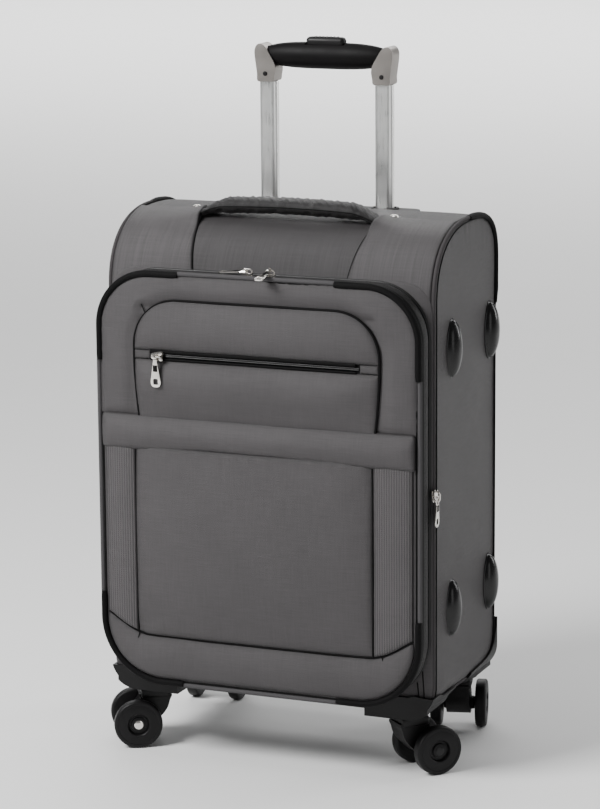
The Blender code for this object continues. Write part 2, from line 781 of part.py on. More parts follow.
def make_grip(upper):
    grip = turn(place("grip", turned_mesh("grip", grip_profile()), "rubber", grip_matrix()), 20)
    room = tool("grip_room", turned_mesh("grip_room", grip_profile(0.0004)), grip_matrix())
    turn(room, 20)
    half_x, half_y = BUTTON_HALF
    clear = 0.0004
    pocket_low = (-half_x - clear, TUBE_Y - half_y - clear, BUTTON_Z[0] - BUTTON_TRAVEL - 0.001)
    pocket_high = (half_x + clear, TUBE_Y + half_y + clear, 0.75)
    cut(grip, tool("button_pocket", cube_mesh("button_pocket", pocket_low, pocket_high)))
    attach(grip, upper)

    press = joint_axis("release_button_press", (0, TUBE_Y, BUTTON_Z[0]), upper)
    button = block(
        "release_button",
        "moulding",
        (-half_x, TUBE_Y - half_y, BUTTON_Z[0]),
        (half_x, TUBE_Y + half_y, BUTTON_Z[1]),
        0.002,
        2,
    )
    attach(button, press)

    outline = [
        (0.0530, 0.6770),
        (0.0745, 0.6770),
        (0.0768, 0.6900),
        (0.0800, 0.7035),
        (0.0796, 0.7090),
        (0.0760, 0.7125),
        (0.0600, 0.7040),
        (0.0500, 0.6930),
        (0.0500, 0.6880),
    ]
    for end, side in (("left", -1), ("right", 1)):
        shape = [(x * side, z) for x, z in outline][::side]
        span = (TUBE_Y - 0.0122, TUBE_Y + 0.0122)
        name = "grip_bracket_" + end
        bracket = as_mesh(plate(name, "satin_metal", [shape], FRONT_PLANE, span))
        round_edges(bracket, 0.003, 2)
        cut(bracket, room)
        attach(bracket, upper)


# ---------------------------------------------------------------- casters


def fork_mesh():
    """A fork in its own axes: stem along Z at the origin, trailing along +X, axle along Y."""
    outline = [
        (-0.0140, 0.0540),
        (-0.0135, 0.0430),
        (-0.0090, 0.0330),
        (0.0060, 0.0180),
        (0.0130, 0.0148),
        (TRAIL + 0.003, 0.0146),
        (TRAIL + 0.009, 0.0185),
        (TRAIL + 0.0105, 0.0260),
        (TRAIL + 0.0070, 0.0350),
        (0.0165, 0.0450),
        (0.0150, 0.0540),
    ]
    outline = list(reversed(outline))
    web = outline_curve("fork", [outline], 0.025)
    stand = Matrix(((1, 0, 0, 0), (0, 0, -1, 0), (0, 1, 0, 0), (0, 0, 0, 1)))
    body = place("fork_web", web, "moulding", stand)
    mesh = solid_mesh(body)
    mesh.transform(stand)
    bpy.data.objects.remove(body)
    body = place("fork_body", mesh, "moulding")
    across = Matrix.Translation((TRAIL, 0, WHEEL_RADIUS)) @ Matrix.Rotation(math.pi / 2, 4, "X")
    reach = WHEEL_OFFSET + WHEEL_HALF_THICK + 0.001
    additions = [
        tool("turret", cylinder_mesh("turret", 0.0155, (0.0500, TURRET_TOP))),
        tool("stem", cylinder_mesh("stem", STEM_RADIUS, (0.0550, BODY_BOTTOM - 2 * GAP))),
        tool("axle", cylinder_mesh("axle", AXLE_RADIUS, (-reach, reach)), across),
    ]
    return joined_mesh(body, additions)


def wheel_mesh():
    """A wheel turned about Z: rounded tread, recessed face and a bore for the axle."""
    bore = AXLE_RADIUS + RUNNING_GAP
    half, rim = WHEEL_HALF_THICK, WHEEL_RADIUS
    profile = [
        (bore, half - 0.001),
        (0.0095, half - 0.001),
        (0.0125, half - 0.0022),
        (0.0140, half),
        (rim - 0.003, half),
        (rim, half - 0.003),
        (rim, -half + 0.003),
        (rim - 0.003, -half),
        (0.0140, -half),
        (bore, -half + 0.001),
    ]
    carrier = turn(place("wheel_form", turned_mesh("wheel", profile, closed=True), "rubber"), 28)
    mesh = solid_mesh(carrier)
    bpy.data.objects.remove(carrier)
    mesh.shade_smooth()
    mesh.set_sharp_from_angle(angle=math.radians(40))
    return mesh


def make_casters():
    fork = fork_mesh()
    wheel = wheel_mesh()
    for position, (stem_y, side, trail_degrees) in CASTERS.items():
        stem = Vector((STEM_X * side, stem_y, 0))
        swivel = joint_axis("caster_swivel_" + position, stem)
        turned_to = Matrix.Translation(stem) @ Matrix.Rotation(math.radians(trail_degrees), 4, "Z")
        attach(place("caster_fork_" + position, fork.copy(), "moulding", turned_to), swivel)
        for name, offset in (("a", WHEEL_OFFSET), ("b", -WHEEL_OFFSET)):
            # Side a is on the fork's +Y side; each wheel's recessed face looks outwards.
            facing = Matrix.Rotation(math.radians(-90 if offset > 0 else 90), 4, "X")
            hub = turned_to @ Matrix.Translation((TRAIL, offset, WHEEL_RADIUS))
            spin = joint_axis(f"wheel_spin_{position}_{name}", hub.translation, swivel)
            attach(place(f"wheel_{position}_{name}", wheel.copy(), "rubber", hub @ facing), spin)


make_body_panels()
make_opening_frame()
make_corner_guards()
make_side_feet()
make_rivets()
make_carry_handles()
expansion_axis, lid_axis = make_lid()
make_zip_fittings(expansion_axis, lid_axis)
make_pull_handle()
make_casters()
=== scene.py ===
"""Looks of the softside upright suitcase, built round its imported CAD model.

Metres, +Z up, floor at z = 0, the lid faces -Y and +X is the suitcase's right side.
Cloth pads are closed meshes: a fine front surface, a flat back and a wall between them.
"""

import math

import bmesh
import bpy
import numpy as np
from mathutils import Matrix, Vector


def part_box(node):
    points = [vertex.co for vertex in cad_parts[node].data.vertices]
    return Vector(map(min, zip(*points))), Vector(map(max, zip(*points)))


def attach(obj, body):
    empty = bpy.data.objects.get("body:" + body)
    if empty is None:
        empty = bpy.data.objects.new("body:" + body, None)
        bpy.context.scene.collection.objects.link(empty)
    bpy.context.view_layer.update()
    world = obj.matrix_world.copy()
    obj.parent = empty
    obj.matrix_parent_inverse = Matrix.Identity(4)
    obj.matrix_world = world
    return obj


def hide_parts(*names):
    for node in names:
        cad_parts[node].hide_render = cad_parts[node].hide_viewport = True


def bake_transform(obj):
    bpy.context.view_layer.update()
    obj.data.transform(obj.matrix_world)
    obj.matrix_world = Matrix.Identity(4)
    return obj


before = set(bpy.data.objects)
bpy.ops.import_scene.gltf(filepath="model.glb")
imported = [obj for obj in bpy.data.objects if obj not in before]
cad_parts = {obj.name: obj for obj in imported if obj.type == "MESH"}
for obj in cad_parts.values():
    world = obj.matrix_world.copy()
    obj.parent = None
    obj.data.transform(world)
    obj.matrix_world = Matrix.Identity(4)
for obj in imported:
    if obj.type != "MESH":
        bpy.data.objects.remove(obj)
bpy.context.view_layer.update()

RNG_SEED = 7

# Sizes read from the frame.
SIDE_LOW, SIDE_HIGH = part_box("side_panel_right")
LID_LOW, LID_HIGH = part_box("lid_panel")
FRAME_LOW, FRAME_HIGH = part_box("expansion_frame")
BAND_LOW, BAND_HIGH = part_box("pocket_band")
ARCH_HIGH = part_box("upper_pocket")[1]
POCKET_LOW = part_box("lower_pocket")[0]
ZIP_LOW, ZIP_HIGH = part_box("pocket_zip")
BEZEL_LOW, BEZEL_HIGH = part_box("handle_bezel")

HALF_WIDTH = SIDE_HIGH.x
BODY_FRONT, BODY_BACK = SIDE_LOW.y, SIDE_HIGH.y
BODY_BOTTOM, BODY_TOP = SIDE_LOW.z, SIDE_HIGH.z
CROWN_Y, FRONT_SHOULDER_Z, REAR_SHOULDER_Z = 0.020, 0.478, 0.495

LID_HALF = FRAME_HIGH.x
LID_BOTTOM, LID_TOP = FRAME_LOW.z, FRAME_HIGH.z
LID_BOTTOM_RADIUS, LID_TOP_RADIUS = 0.066, 0.056
TRIM_X, TRIM_LOW_Z, TRIM_HIGH_Z = 0.083, 0.171, 0.410  # where the corner trims end
MAIN_ZIP_Y, EXPANSION_ZIP_Y = 0.1036, 0.0845  # depths in front of the origin


# ---------------------------------------------------------------- materials


def new_material(name, colour, roughness, metallic=0.0, **sockets):
    """A node material; sockets are constant Principled inputs, named with underscores."""
    material = bpy.data.materials.new(name)
    material.use_nodes = True
    shader = material.node_tree.nodes["Principled BSDF"]
    shader.inputs["Base Color"].default_value = (*colour, 1.0)
    shader.inputs["Roughness"].default_value = roughness
    shader.inputs["Metallic"].default_value = metallic
    for key, value in sockets.items():
        shader.inputs[key.replace("_", " ")].default_value = value
    return material, Tree(material.node_tree), shader


class Tree:
    """Short ways to add the nodes that the materials share."""

    def __init__(self, tree):
        self.tree = tree

    def node(self, kind, settings=None, **inputs):
        node = self.tree.nodes.new(kind)
        for key, value in (settings or {}).items():
            setattr(node, key, value)
        for key, value in inputs.items():
            self.feed(node.inputs[key.replace("_", " ")], value)
        return node

    def feed(self, socket, value):
        if isinstance(value, bpy.types.NodeSocket):
            self.tree.links.new(value, socket)
        else:
            socket.default_value = value

    def math(self, operation, first, second=0.0):
        node = self.tree.nodes.new("ShaderNodeMath")
        node.operation = operation
        self.feed(node.inputs[0], first)
        self.feed(node.inputs[1], second)
        return node.outputs[0]

    def cloth_uv(self):
        """U and V along the cloth, in metres."""
        uv = self.node("ShaderNodeUVMap", {"uv_map": "weave"}).outputs["UV"]
        split = self.node("ShaderNodeSeparateXYZ", Vector=uv)
        return uv, split.outputs["X"], split.outputs["Y"]

    def object_point(self):
        return self.node("ShaderNodeTexCoord").outputs["Object"]

    def noise(self, vector, scale, detail=2.0, stretch=(1, 1, 1)):
        scaled = self.node("ShaderNodeVectorMath", {"operation": "MULTIPLY"})
        self.feed(scaled.inputs[0], vector)
        scaled.inputs[1].default_value = stretch
        texture = self.node("ShaderNodeTexNoise", Scale=scale, Detail=detail)
        self.feed(texture.inputs["Vector"], scaled.outputs[0])
        return texture.outputs["Fac"]

    def sine(self, coordinate, pitch):
        return self.math("SINE", self.math("MULTIPLY", coordinate, math.tau / pitch))

    def remap(self, value, low, high, to_low, to_high):
        node = self.node("ShaderNodeMapRange", Value=value)
        sockets = ("From Min", "From Max", "To Min", "To Max")
        for socket, number in zip(sockets, (low, high, to_low, to_high)):
            node.inputs[socket].default_value = number
        return node.outputs[0]

    def tint(self, factor, dark, light):
        """A colour between two, by a factor from 0 to 1."""
        ramp = self.node("ShaderNodeValToRGB", Fac=factor)
        ramp.color_ramp.elements[0].color = (*dark, 1)
        ramp.color_ramp.elements[1].color = (*light, 1)
        return ramp.outputs["Color"]

    def bump(self, shader, height, distance, strength):
        node = self.node("ShaderNodeBump", Height=height, Distance=distance, Strength=strength)
        self.tree.links.new(node.outputs["Normal"], shader.inputs["Normal"])


def shade(colour, factor):
    return tuple(c * factor for c in colour)


def woven(name, colour, rib=0.0, pitch=0.0011, streak=(1.0, 0.05), contrast=0.30, sheen=0.05,
          grain=(0.22, 0.26)):
    """Polyester cloth: crossing threads, uneven yarns, soft mottling, and painted shade that darkens it next
    to its seams.

    streak stretches the yarns' unevenness; grain is how much shows along u and along v.
    """
    material, tree, shader = new_material(
        name, colour, 0.55, Sheen_Weight=sheen, Sheen_Roughness=0.35, Specular_IOR_Level=0.30
    )
    uv, u, v = tree.cloth_uv()
    crossing = tree.math("MULTIPLY", tree.sine(u, pitch), tree.sine(v, pitch * 0.8))
    yarn_u = tree.noise(uv, 900, 2, (streak[1], streak[0], 1))
    yarn_v = tree.noise(uv, 900, 2, (streak[0], streak[1], 1))
    yarns = tree.math("ADD", yarn_u, tree.math("MULTIPLY", yarn_v, 0.7))
    mottle = tree.noise(uv, 14, 4)
    height = tree.math("ADD", tree.math("MULTIPLY", crossing, 0.5), tree.math("MULTIPLY", yarns, 0.8))
    if rib:
        ribs = tree.sine(u, rib)
        dots = tree.math("MULTIPLY", ribs, tree.sine(v, rib * 0.8))
        height = tree.math("ADD", height, tree.math("ADD", ribs, dots))
    # seam: how near each point is to its pad's edge, used below for painted shade
    seam = tree.node("ShaderNodeAttribute", {"attribute_name": "seam"}).outputs["Fac"]
    along_u = tree.noise(uv, 620, 2, (streak[1], streak[0], 1))
    along_v = tree.noise(uv, 620, 2, (streak[0], streak[1], 1))
    tone = tree.math("ADD", tree.math("MULTIPLY", height, contrast), tree.math("MULTIPLY", mottle, 0.35))
    tone = tree.math("ADD", tone, tree.math("MULTIPLY", tree.math("SUBTRACT", along_u, 0.5), grain[0]))
    tone = tree.math("ADD", tone, tree.math("MULTIPLY", tree.math("SUBTRACT", along_v, 0.5), grain[1]))
    # painted shade: the cloth is darkened beside its seams, where shade falls into the seam
    tone = tree.math("SUBTRACT", tone, tree.math("MULTIPLY", seam, 0.75))
    factor = tree.remap(tone, -0.2, 0.85, 0.0, 1.0)
    tree.feed(shader.inputs["Base Color"], tree.tint(factor, shade(colour, 0.50), shade(colour, 1.42)))
    tree.feed(shader.inputs["Roughness"], tree.remap(yarns, 0.3, 1.3, 0.60, 0.42))
    tree.bump(shader, height, 0.00020, 0.8)
    return material


def ribbed_tape(name, colour, pitch=0.0013):
    """Zip tape, binding and piping cloth: fine ribs across its length."""
    material, tree, shader = new_material(name, colour, 0.65, Specular_IOR_Level=0.10)
    uv, u, v = tree.cloth_uv()
    ribs = tree.sine(u, pitch)
    cross = tree.math("MULTIPLY", ribs, tree.sine(v, pitch * 0.7))
    grain = tree.noise(uv, 1500, 3)
    height = tree.math("ADD", cross, grain)
    factor = tree.remap(height, -0.6, 1.6, 0.0, 1.0)
    tree.feed(shader.inputs["Base Color"], tree.tint(factor, shade(colour, 0.6), shade(colour, 1.45)))
    tree.bump(shader, height, 0.00012, 0.6)
    return material


def moulded(name, colour, roughness, grain=900, depth=0.00005, **sockets):
    """Moulded plastic or rubber: fine spark grain, faint scuffs, uneven polish."""
    material, tree, shader = new_material(name, colour, roughness, **sockets)
    point = tree.object_point()
    fine = tree.noise(point, grain, 3)
    scuff = tree.noise(point, 45, 5)
    tree.feed(shader.inputs["Base Color"], tree.tint(scuff, shade(colour, 0.7), shade(colour, 1.5)))
    polish = tree.math("ADD", tree.math("MULTIPLY", scuff, 0.7), tree.math("MULTIPLY", fine, 0.3))
    tree.feed(shader.inputs["Roughness"], tree.remap(polish, 0.3, 0.7, roughness - 0.07, roughness + 0.1))
    tree.bump(shader, fine, depth, 0.4)
    return material


def brushed(name, colour, roughness, stretch=(1, 1, 0.02), depth=0.00002):
    """Anodised or satin metal with long fine lines and a few handling marks."""
    material, tree, shader = new_material(name, colour, roughness, 1.0)
    point = tree.object_point()
    lines = tree.noise(point, 1500, 2, stretch)
    marks = tree.noise(point, 60, 4)
    blend = tree.math("ADD", tree.math("MULTIPLY", lines, 0.6), tree.math("MULTIPLY", marks, 0.4))
    tree.feed(shader.inputs["Base Color"], tree.tint(blend, shade(colour, 0.86), shade(colour, 1.12)))
    tree.feed(shader.inputs["Roughness"], tree.remap(blend, 0.3, 0.7, roughness - 0.06, roughness + 0.08))
    tree.bump(shader, lines, depth, 0.3)
    return material


def make_materials():
    cloth = (0.0505, 0.0468, 0.0484)
    lengthways = {"streak": (1.0, 0.02), "contrast": 0.50, "grain": (0.10, 0.85)}
    return {
        "cloth": woven("body_cloth", cloth),
        "side": woven("side_cloth", shade(cloth, 0.90)),
        "top": woven("top_cloth", shade(cloth, 0.98), **lengthways),
        # painted shadow: the top's middle, under the carry handle and between the patches, is the top cloth
        # darkened to about two thirds
        "top_middle_painted_shadow": woven("top_middle_painted_shadow_cloth", shade(cloth, 0.64), **lengthways),
        "front": woven("front_cloth", cloth),
        "band": woven("band_cloth", shade(cloth, 1.08)),
        "ribbed": woven("ribbed_cloth", shade(cloth, 1.15), rib=0.0026, contrast=0.55),
        # painted shade: the carry handles are the body cloth darkened to a fifth, standing in for their shade
        "handle": woven("handle_cloth", shade(cloth, 0.20)),
        "lining": woven("lining_cloth", (0.020, 0.020, 0.0215), pitch=0.0008, sheen=0.02),
        "piping": ribbed_tape("reflective_piping", (0.058, 0.056, 0.058), 0.0016),
        "cord": ribbed_tape("cloth_piping", shade(cloth, 0.95)),
        "binding": ribbed_tape("black_binding", (0.0026, 0.0024, 0.0026)),
        "tape": ribbed_tape("zip_tape_cloth", (0.0085, 0.0080, 0.0088), 0.0010),
        # painted shade: the zip strips are the body cloth darkened to a fifth, for the shade in the zip
        # recess between lid and body
        "strip": woven("zip_strip_cloth", shade(cloth, 0.20)),
        "chain": moulded("zip_coil", (0.0050, 0.0047, 0.0050), 0.42, Specular_IOR_Level=0.3),
        # seam thread, also used for dark cords that are painted shade in the grooves beside the piping
        "thread_and_seam_shade": moulded("seam_thread_and_shade", (0.0030, 0.0030, 0.0030), 0.7, Specular_IOR_Level=0.1),
        "moulding": moulded("moulded_plastic", (0.0034, 0.0031, 0.0033), 0.42, depth=0.00008,
                            Specular_IOR_Level=0.22),
        "tread": moulded("wheel_rubber", (0.0038, 0.0035, 0.0038), 0.46, grain=700, depth=0.00008,
                        Specular_IOR_Level=0.22),
        "gloss": moulded("gloss_plastic", (0.0028, 0.0026, 0.0028), 0.22, depth=0.00001,
                         Specular_IOR_Level=0.35),
        "soft_grip": moulded("soft_touch_grip", (0.0026, 0.0022, 0.0024), 0.52, grain=1300,
                             Specular_IOR_Level=0.11),
        "aluminium": brushed("anodised_aluminium", (0.92, 0.92, 0.905), 0.30),
        "satin": brushed("satin_bracket", (0.31, 0.29, 0.272), 0.36, stretch=(1, 1, 1)),
        "nickel": brushed("nickel_plate", (0.75, 0.72, 0.68), 0.17, stretch=(1, 1, 1), depth=0.00001),
        "board": moulded("fibre_board", (0.020, 0.020, 0.021), 0.65, grain=300, depth=0.0002),
    }


LOOK = make_materials()


# ---------------------------------------------------------------- mesh tools


def finish_piece(obj, look, body, replaces=(), second=None):
    """Gives a piece its material and body, and hides the CAD nodes it stands for."""
    slots = obj.data.materials
    for k, key in enumerate([look, second] if second else [look]):
        if k < len(slots):
            slots[k] = LOOK[key]
        else:
            slots.append(LOOK[key])
    if body:
        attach(obj, body)
    if replaces:
        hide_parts(*replaces)
    return obj


WELD = 0.000002  # points closer than this become one


def face_outwards(mesh, weld=None):
    """Turns a closed mesh's faces outwards, after welding it if asked."""
    bm = bmesh.new()
    bm.from_mesh(mesh)
    if weld:
        bmesh.ops.remove_doubles(bm, verts=bm.verts, dist=weld)
    bmesh.ops.recalc_face_normals(bm, faces=bm.faces)
    bm.to_mesh(mesh)
    bm.free()
    return mesh


def link_mesh(name, mesh, sharp=50):
    obj = bpy.data.objects.new(name, mesh)
    bpy.context.scene.collection.objects.link(obj)
    mesh.shade_smooth()
    mesh.set_sharp_from_angle(angle=math.radians(sharp))
    return obj


def build_mesh(name, points, faces, uv, seam=None, second_from=None, sharp=50):
    """A mesh from points, quads and per-corner UVs in metres, with outward normals."""
    mesh = bpy.data.meshes.new(name)
    mesh.from_pydata(points.tolist(), [], faces)
    layer = mesh.uv_layers.new(name="weave")
    layer.data.foreach_set("uv", np.asarray(uv, np.float32).ravel())
    # the seam attribute: nearness to a seam, which the cloth materials darken as painted shade
    if seam is not None:
        attribute = mesh.attributes.new("seam", "FLOAT", "POINT")
        attribute.data.foreach_set("value", seam.astype(np.float32))
    if second_from is not None:
        index = np.zeros(len(faces), np.int32)
        index[second_from:] = 1
        mesh.materials.append(None)
        mesh.materials.append(None)
        mesh.polygons.foreach_set("material_index", index)
    mesh.update()
    face_outwards(mesh)
    mesh.validate()
    return link_mesh(name, mesh, sharp)


def grid_faces(rows, columns, wrap_rows=False, wrap_columns=False, start=0):
    """Quads over a grid, and for each corner its (row, column) before wrapping."""
    faces, corners = [], []
    for i in range(rows if wrap_rows else rows - 1):
        for j in range(columns if wrap_columns else columns - 1):
            spots = ((i, j), (i, j + 1), (i + 1, j + 1), (i + 1, j))
            faces.append(tuple(start + (a % rows) * columns + b % columns for a, b in spots))
            corners.extend(spots)
    return faces, np.array(corners)


def lengths(points, closed):
    """Distance along a polyline at each point, with one more value where it closes."""
    following = np.roll(points, -1, axis=0) if closed else points[1:]
    steps = np.linalg.norm(following - (points if closed else points[:-1]), axis=1)
    return np.concatenate([[0.0], np.cumsum(steps)])


def tube_mesh(name, rings, closed=False, capped=True, sharp=50):
    """A skin over rings of points: rings run along the piece, each ring is closed."""
    rings = np.asarray(rings, float)
    count, around = rings.shape[:2]
    faces, corners = grid_faces(count, around, closed, True)
    along = lengths(rings.mean(axis=1), closed)
    girth = lengths(rings[count // 2], True)
    uv = [(along[i], girth[j]) for i, j in corners]
    points = rings.reshape(-1, 3)
    if capped and not closed:
        for ring, order in ((0, 1), (count - 1, -1)):
            face = [ring * around + j for j in range(around)][::order]
            faces.append(tuple(face))
            uv.extend((along[ring], girth[j % around]) for j in range(around))
    return build_mesh(name, points, faces, uv, sharp=sharp)


def plane_frames(path, across, closed):
    """Outward in-plane normals of a planar path; across is the plane's own normal."""
    path = np.asarray(path, float)
    if closed:
        tangent = np.roll(path, -1, axis=0) - np.roll(path, 1, axis=0)
    else:
        tangent = np.gradient(path, axis=0)
    tangent /= np.linalg.norm(tangent, axis=1)[:, None]
    return np.cross(tangent, np.asarray(across, float))


def sweep(name, path, across, profile, closed=False, sharp=50, scale=None):
    """Sweeps a closed (out, across) profile along a planar path, outward from its inside."""
    path = np.asarray(path, float)
    out = plane_frames(path, across, closed)
    profile = np.asarray(profile, float)
    scale = np.ones(len(path)) if scale is None else np.asarray(scale)
    shift = profile[None, :, 0, None] * out[:, None, :] * scale[:, None, None]
    side = profile[None, :, 1, None] * np.asarray(across, float) * scale[:, None, None]
    return tube_mesh(name, path[:, None, :] + shift + side, closed, sharp=sharp)


def ellipse(half_out, half_across, centre=(0, 0), count=12):
    angles = np.arange(count) * math.tau / count
    return np.stack(
        [centre[0] + half_out * np.cos(angles), centre[1] + half_across * np.sin(angles)], axis=1
    )


def strip_profile(across_low, across_high, out, crown, thickness, count=6):
    """A flat cloth strip in section: its outside is crowned, its inside is straight."""
    t = np.linspace(0, 1, count)
    across = across_low + (across_high - across_low) * t
    outside = np.stack([out + crown * np.sin(math.pi * t), across], 1)
    inside = np.stack([np.full(2, out - thickness), np.array([across_high, across_low])], 1)
    return np.concatenate([outside, inside])


def arc_points(centre, radius, start, end, step=0.0035):
    count = max(4, int(math.radians(abs(end - start)) * radius / step))
    angles = np.radians(np.linspace(start, end, count + 1))
    return np.stack([centre[0] + radius * np.cos(angles), centre[1] + radius * np.sin(angles)], 1)


def spaced(start, end, step):
    """Points from start to end, without end, about a step apart."""
    start, end = np.asarray(start, float), np.asarray(end, float)
    count = max(1, int(round(np.linalg.norm(end - start) / step)))
    return start + (end - start) * (np.arange(count) / count)[:, None]


def round_rect(x_range, z_range, r_low, r_high, step=0.004):
    """A closed outline, anticlockwise from the bottom edge's left end, evenly spaced."""
    (x0, x1), (z0, z1) = x_range, z_range
    corners = (
        ((x1 - r_low, z0 + r_low), r_low, -90),
        ((x1 - r_high, z1 - r_high), r_high, 0),
        ((x0 + r_high, z1 - r_high), r_high, 90),
        ((x0 + r_low, z0 + r_low), r_low, 180),
    )
    arcs = [arc_points(c, r, a, a + 90, step) for c, r, a in corners]
    parts = []
    for k, arc in enumerate(arcs):
        before = arcs[k - 1][-1]
        parts.append(spaced(before, arc[0], step))
        parts.append(arc[:-1])
    return np.concatenate(parts)


def lid_outline(inset=0.0, step=0.004):
    return round_rect(
        (-LID_HALF + inset, LID_HALF - inset),
        (LID_BOTTOM + inset, LID_TOP - inset),
        LID_BOTTOM_RADIUS - inset,
        LID_TOP_RADIUS - inset,
        step,
    )


def front_path(outline, depth):
    """Points of an (x, z) outline at a depth in front of the origin."""
    outline = np.asarray(outline)
    return np.stack([outline[:, 0], np.full(len(outline), -depth), outline[:, 1]], 1)


def runs(mask):
    """Index lists of the stretches where a closed outline's mask holds."""
    size = len(mask)
    starts = [k for k in range(size) if mask[k] and not mask[k - 1]]
    found = []
    for start in starts:
        run = []
        k = start
        while mask[k % size] and len(run) < size:
            run.append(k % size)
            k += 1
        found.append(run)
    return found


# ---------------------------------------------------------------- cloth surfaces


def ripple(position, seed, lengths_m=(0.0067, 0.0103, 0.0171)):
    """A smooth uneven wave along a seam, about -1 to 1."""
    phases = np.random.default_rng(RNG_SEED + seed).uniform(0, math.tau, len(lengths_m))
    waves = [np.sin(math.tau * position / w + p) for w, p in zip(lengths_m, phases)]
    return np.mean(waves, axis=0) * 1.4


def drift(u, v, seed, length=0.09):
    """Slow unevenness over a cloth panel, about -1 to 1."""
    rng = np.random.default_rng(RNG_SEED + 100 + seed)
    total = np.zeros_like(u)
    for _ in range(6):
        angle = rng.uniform(0, math.tau)
        wave = length * rng.uniform(0.6, 1.6)
        along = u * math.cos(angle) + v * math.sin(angle)
        total += np.sin(math.tau * along / wave + rng.uniform(0, math.tau))
    return total / 6


def graded(length, fine=0.0007, coarse=0.0055, growth=1.45):
    """Fractions from 0 to 1, close together at both ends of a length."""
    half, position, step = [0.0], 0.0, fine
    while position < length / 2:
        position += step
        half.append(position)
        step = min(step * growth, coarse)
    half = np.array(half) * (length / 2) / half[-1]
    return np.concatenate([half, (length - half[:-1])[::-1]]) / length


def edge_distance(u, v, outline):
    """Distance from each grid point to a closed outline."""
    a = np.asarray(outline)
    b = np.roll(a, -1, axis=0)
    best = np.full(u.shape, 1e9)
    for (ax, ay), (bx, by) in zip(a, b):
        dx, dy = bx - ax, by - ay
        size = dx * dx + dy * dy
        if size < 1e-14:
            continue
        t = np.clip(((u - ax) * dx + (v - ay) * dy) / size, 0, 1)
        best = np.minimum(best, (u - ax - t * dx) ** 2 + (v - ay - t * dy) ** 2)
    return np.sqrt(best)


def rounded_edge(distance, radius):
    """0 at a seam, rising like a quarter circle to 1 at radius from it."""
    t = np.clip(distance / radius, 0, 1)
    return np.sqrt(1 - (1 - t) ** 2)


def swell(distance, reach):
    return 1 - np.exp(-distance / reach)


class Panel:
    """A ruled patch between two edge curves with the same number of points, in (u, v)."""

    def __init__(self, first, second, coarse=0.0055, fine=0.0007):
        first, second = np.asarray(first, float), np.asarray(second, float)
        width = np.linalg.norm(second - first, axis=1).max()
        share = graded(width, fine, coarse)[None, :, None]
        grid = first[:, None, :] * (1 - share) + second[:, None, :] * share
        self.u, self.v = grid[..., 0], grid[..., 1]
        outline = np.concatenate([first, second[::-1]])
        self.distance = edge_distance(self.u, self.v, outline)
        self.shape = self.u.shape
        rows, columns = self.shape
        self.to_columns = np.minimum(
            np.linalg.norm(grid - grid[:, :1], axis=2), np.linalg.norm(grid - grid[:, -1:], axis=2)
        )
        self.to_rows = np.minimum(
            np.linalg.norm(grid - grid[:1], axis=2), np.linalg.norm(grid - grid[-1:], axis=2)
        )
        self.down = lengths(grid[:, columns // 2], False)[:, None]
        self.across = lengths(grid[rows // 2], False)[None, :]

    def puckers(self, seed, depth=0.00035, reach=0.009):
        """Small gathers that run in from the seams."""
        by_column = np.exp(-self.to_columns / reach) * ripple(self.down, seed)
        by_row = np.exp(-self.to_rows / reach) * ripple(self.across, seed + 1)
        return depth * (by_column + by_row) * np.clip(self.distance / 0.003, 0, 1)


def edge_pair(outline_half):
    """The left edge of a panel that is the same on both sides, and its right edge."""
    left = np.asarray(outline_half, float)
    right = left.copy()
    right[:, 0] *= -1
    return left, right


def half_outline(half_width, z_range, r_low, r_high, step=0.0055, fine=0.0007):
    """The left edge of a rounded rectangle from its bottom edge up to its top edge."""
    z0, z1 = z_range
    low = arc_points((-half_width + r_low, z0 + r_low), r_low, 270, 180, min(step, 0.004))
    high = arc_points((-half_width + r_high, z1 - r_high), r_high, 180, 90, min(step, 0.004))
    low_z, high_z = z0 + r_low, z1 - r_high
    middle = low_z + (high_z - low_z) * graded(high_z - low_z, fine, step)
    straight = np.stack([np.full(len(middle), -half_width), middle], 1)[1:-1]
    return np.concatenate([low, straight, high])


def simulated(points, outward, pinned, pressure, cap, name, frames=18):
    """Lets a grid of cloth swell outwards under pressure between its pinned seams."""
    rows, columns = points.shape[:2]
    faces, _ = grid_faces(rows, columns)
    normal = np.cross(points[0, -1] - points[0, 0], points[-1, 0] - points[0, 0])
    if normal @ outward < 0:
        faces = [face[::-1] for face in faces]
    mesh = bpy.data.meshes.new(name)
    mesh.from_pydata(points.reshape(-1, 3).tolist(), [], faces)
    obj = bpy.data.objects.new(name, mesh)
    bpy.context.scene.collection.objects.link(obj)
    group = obj.vertex_groups.new(name="seams")
    group.add([int(k) for k in np.flatnonzero(pinned.ravel())], 1.0, "REPLACE")
    cloth = obj.modifiers.new("cloth", "CLOTH")
    settings = cloth.settings
    settings.quality = 6
    settings.mass = 0.25
    settings.vertex_group_mass = "seams"
    settings.tension_stiffness = settings.compression_stiffness = 12
    settings.shear_stiffness = 6
    settings.bending_stiffness = 0.35
    settings.use_pressure = True
    settings.uniform_pressure_force = pressure
    settings.effector_weights.gravity = 0
    cloth.point_cache.frame_start, cloth.point_cache.frame_end = 1, frames
    scene = bpy.context.scene
    for number in range(1, frames + 1):
        scene.frame_set(number)
    evaluated = obj.evaluated_get(bpy.context.evaluated_depsgraph_get())
    result = np.zeros(rows * columns * 3, np.float32)
    evaluated.data.vertices.foreach_get("co", result)
    moved = result.reshape(points.shape).astype(float) - points
    scene.frame_set(1)
    bpy.data.objects.remove(obj)
    bpy.data.meshes.remove(mesh)
    size = np.linalg.norm(moved, axis=2, keepdims=True)
    return points + moved * np.minimum(1, cap / np.maximum(size, 1e-9))


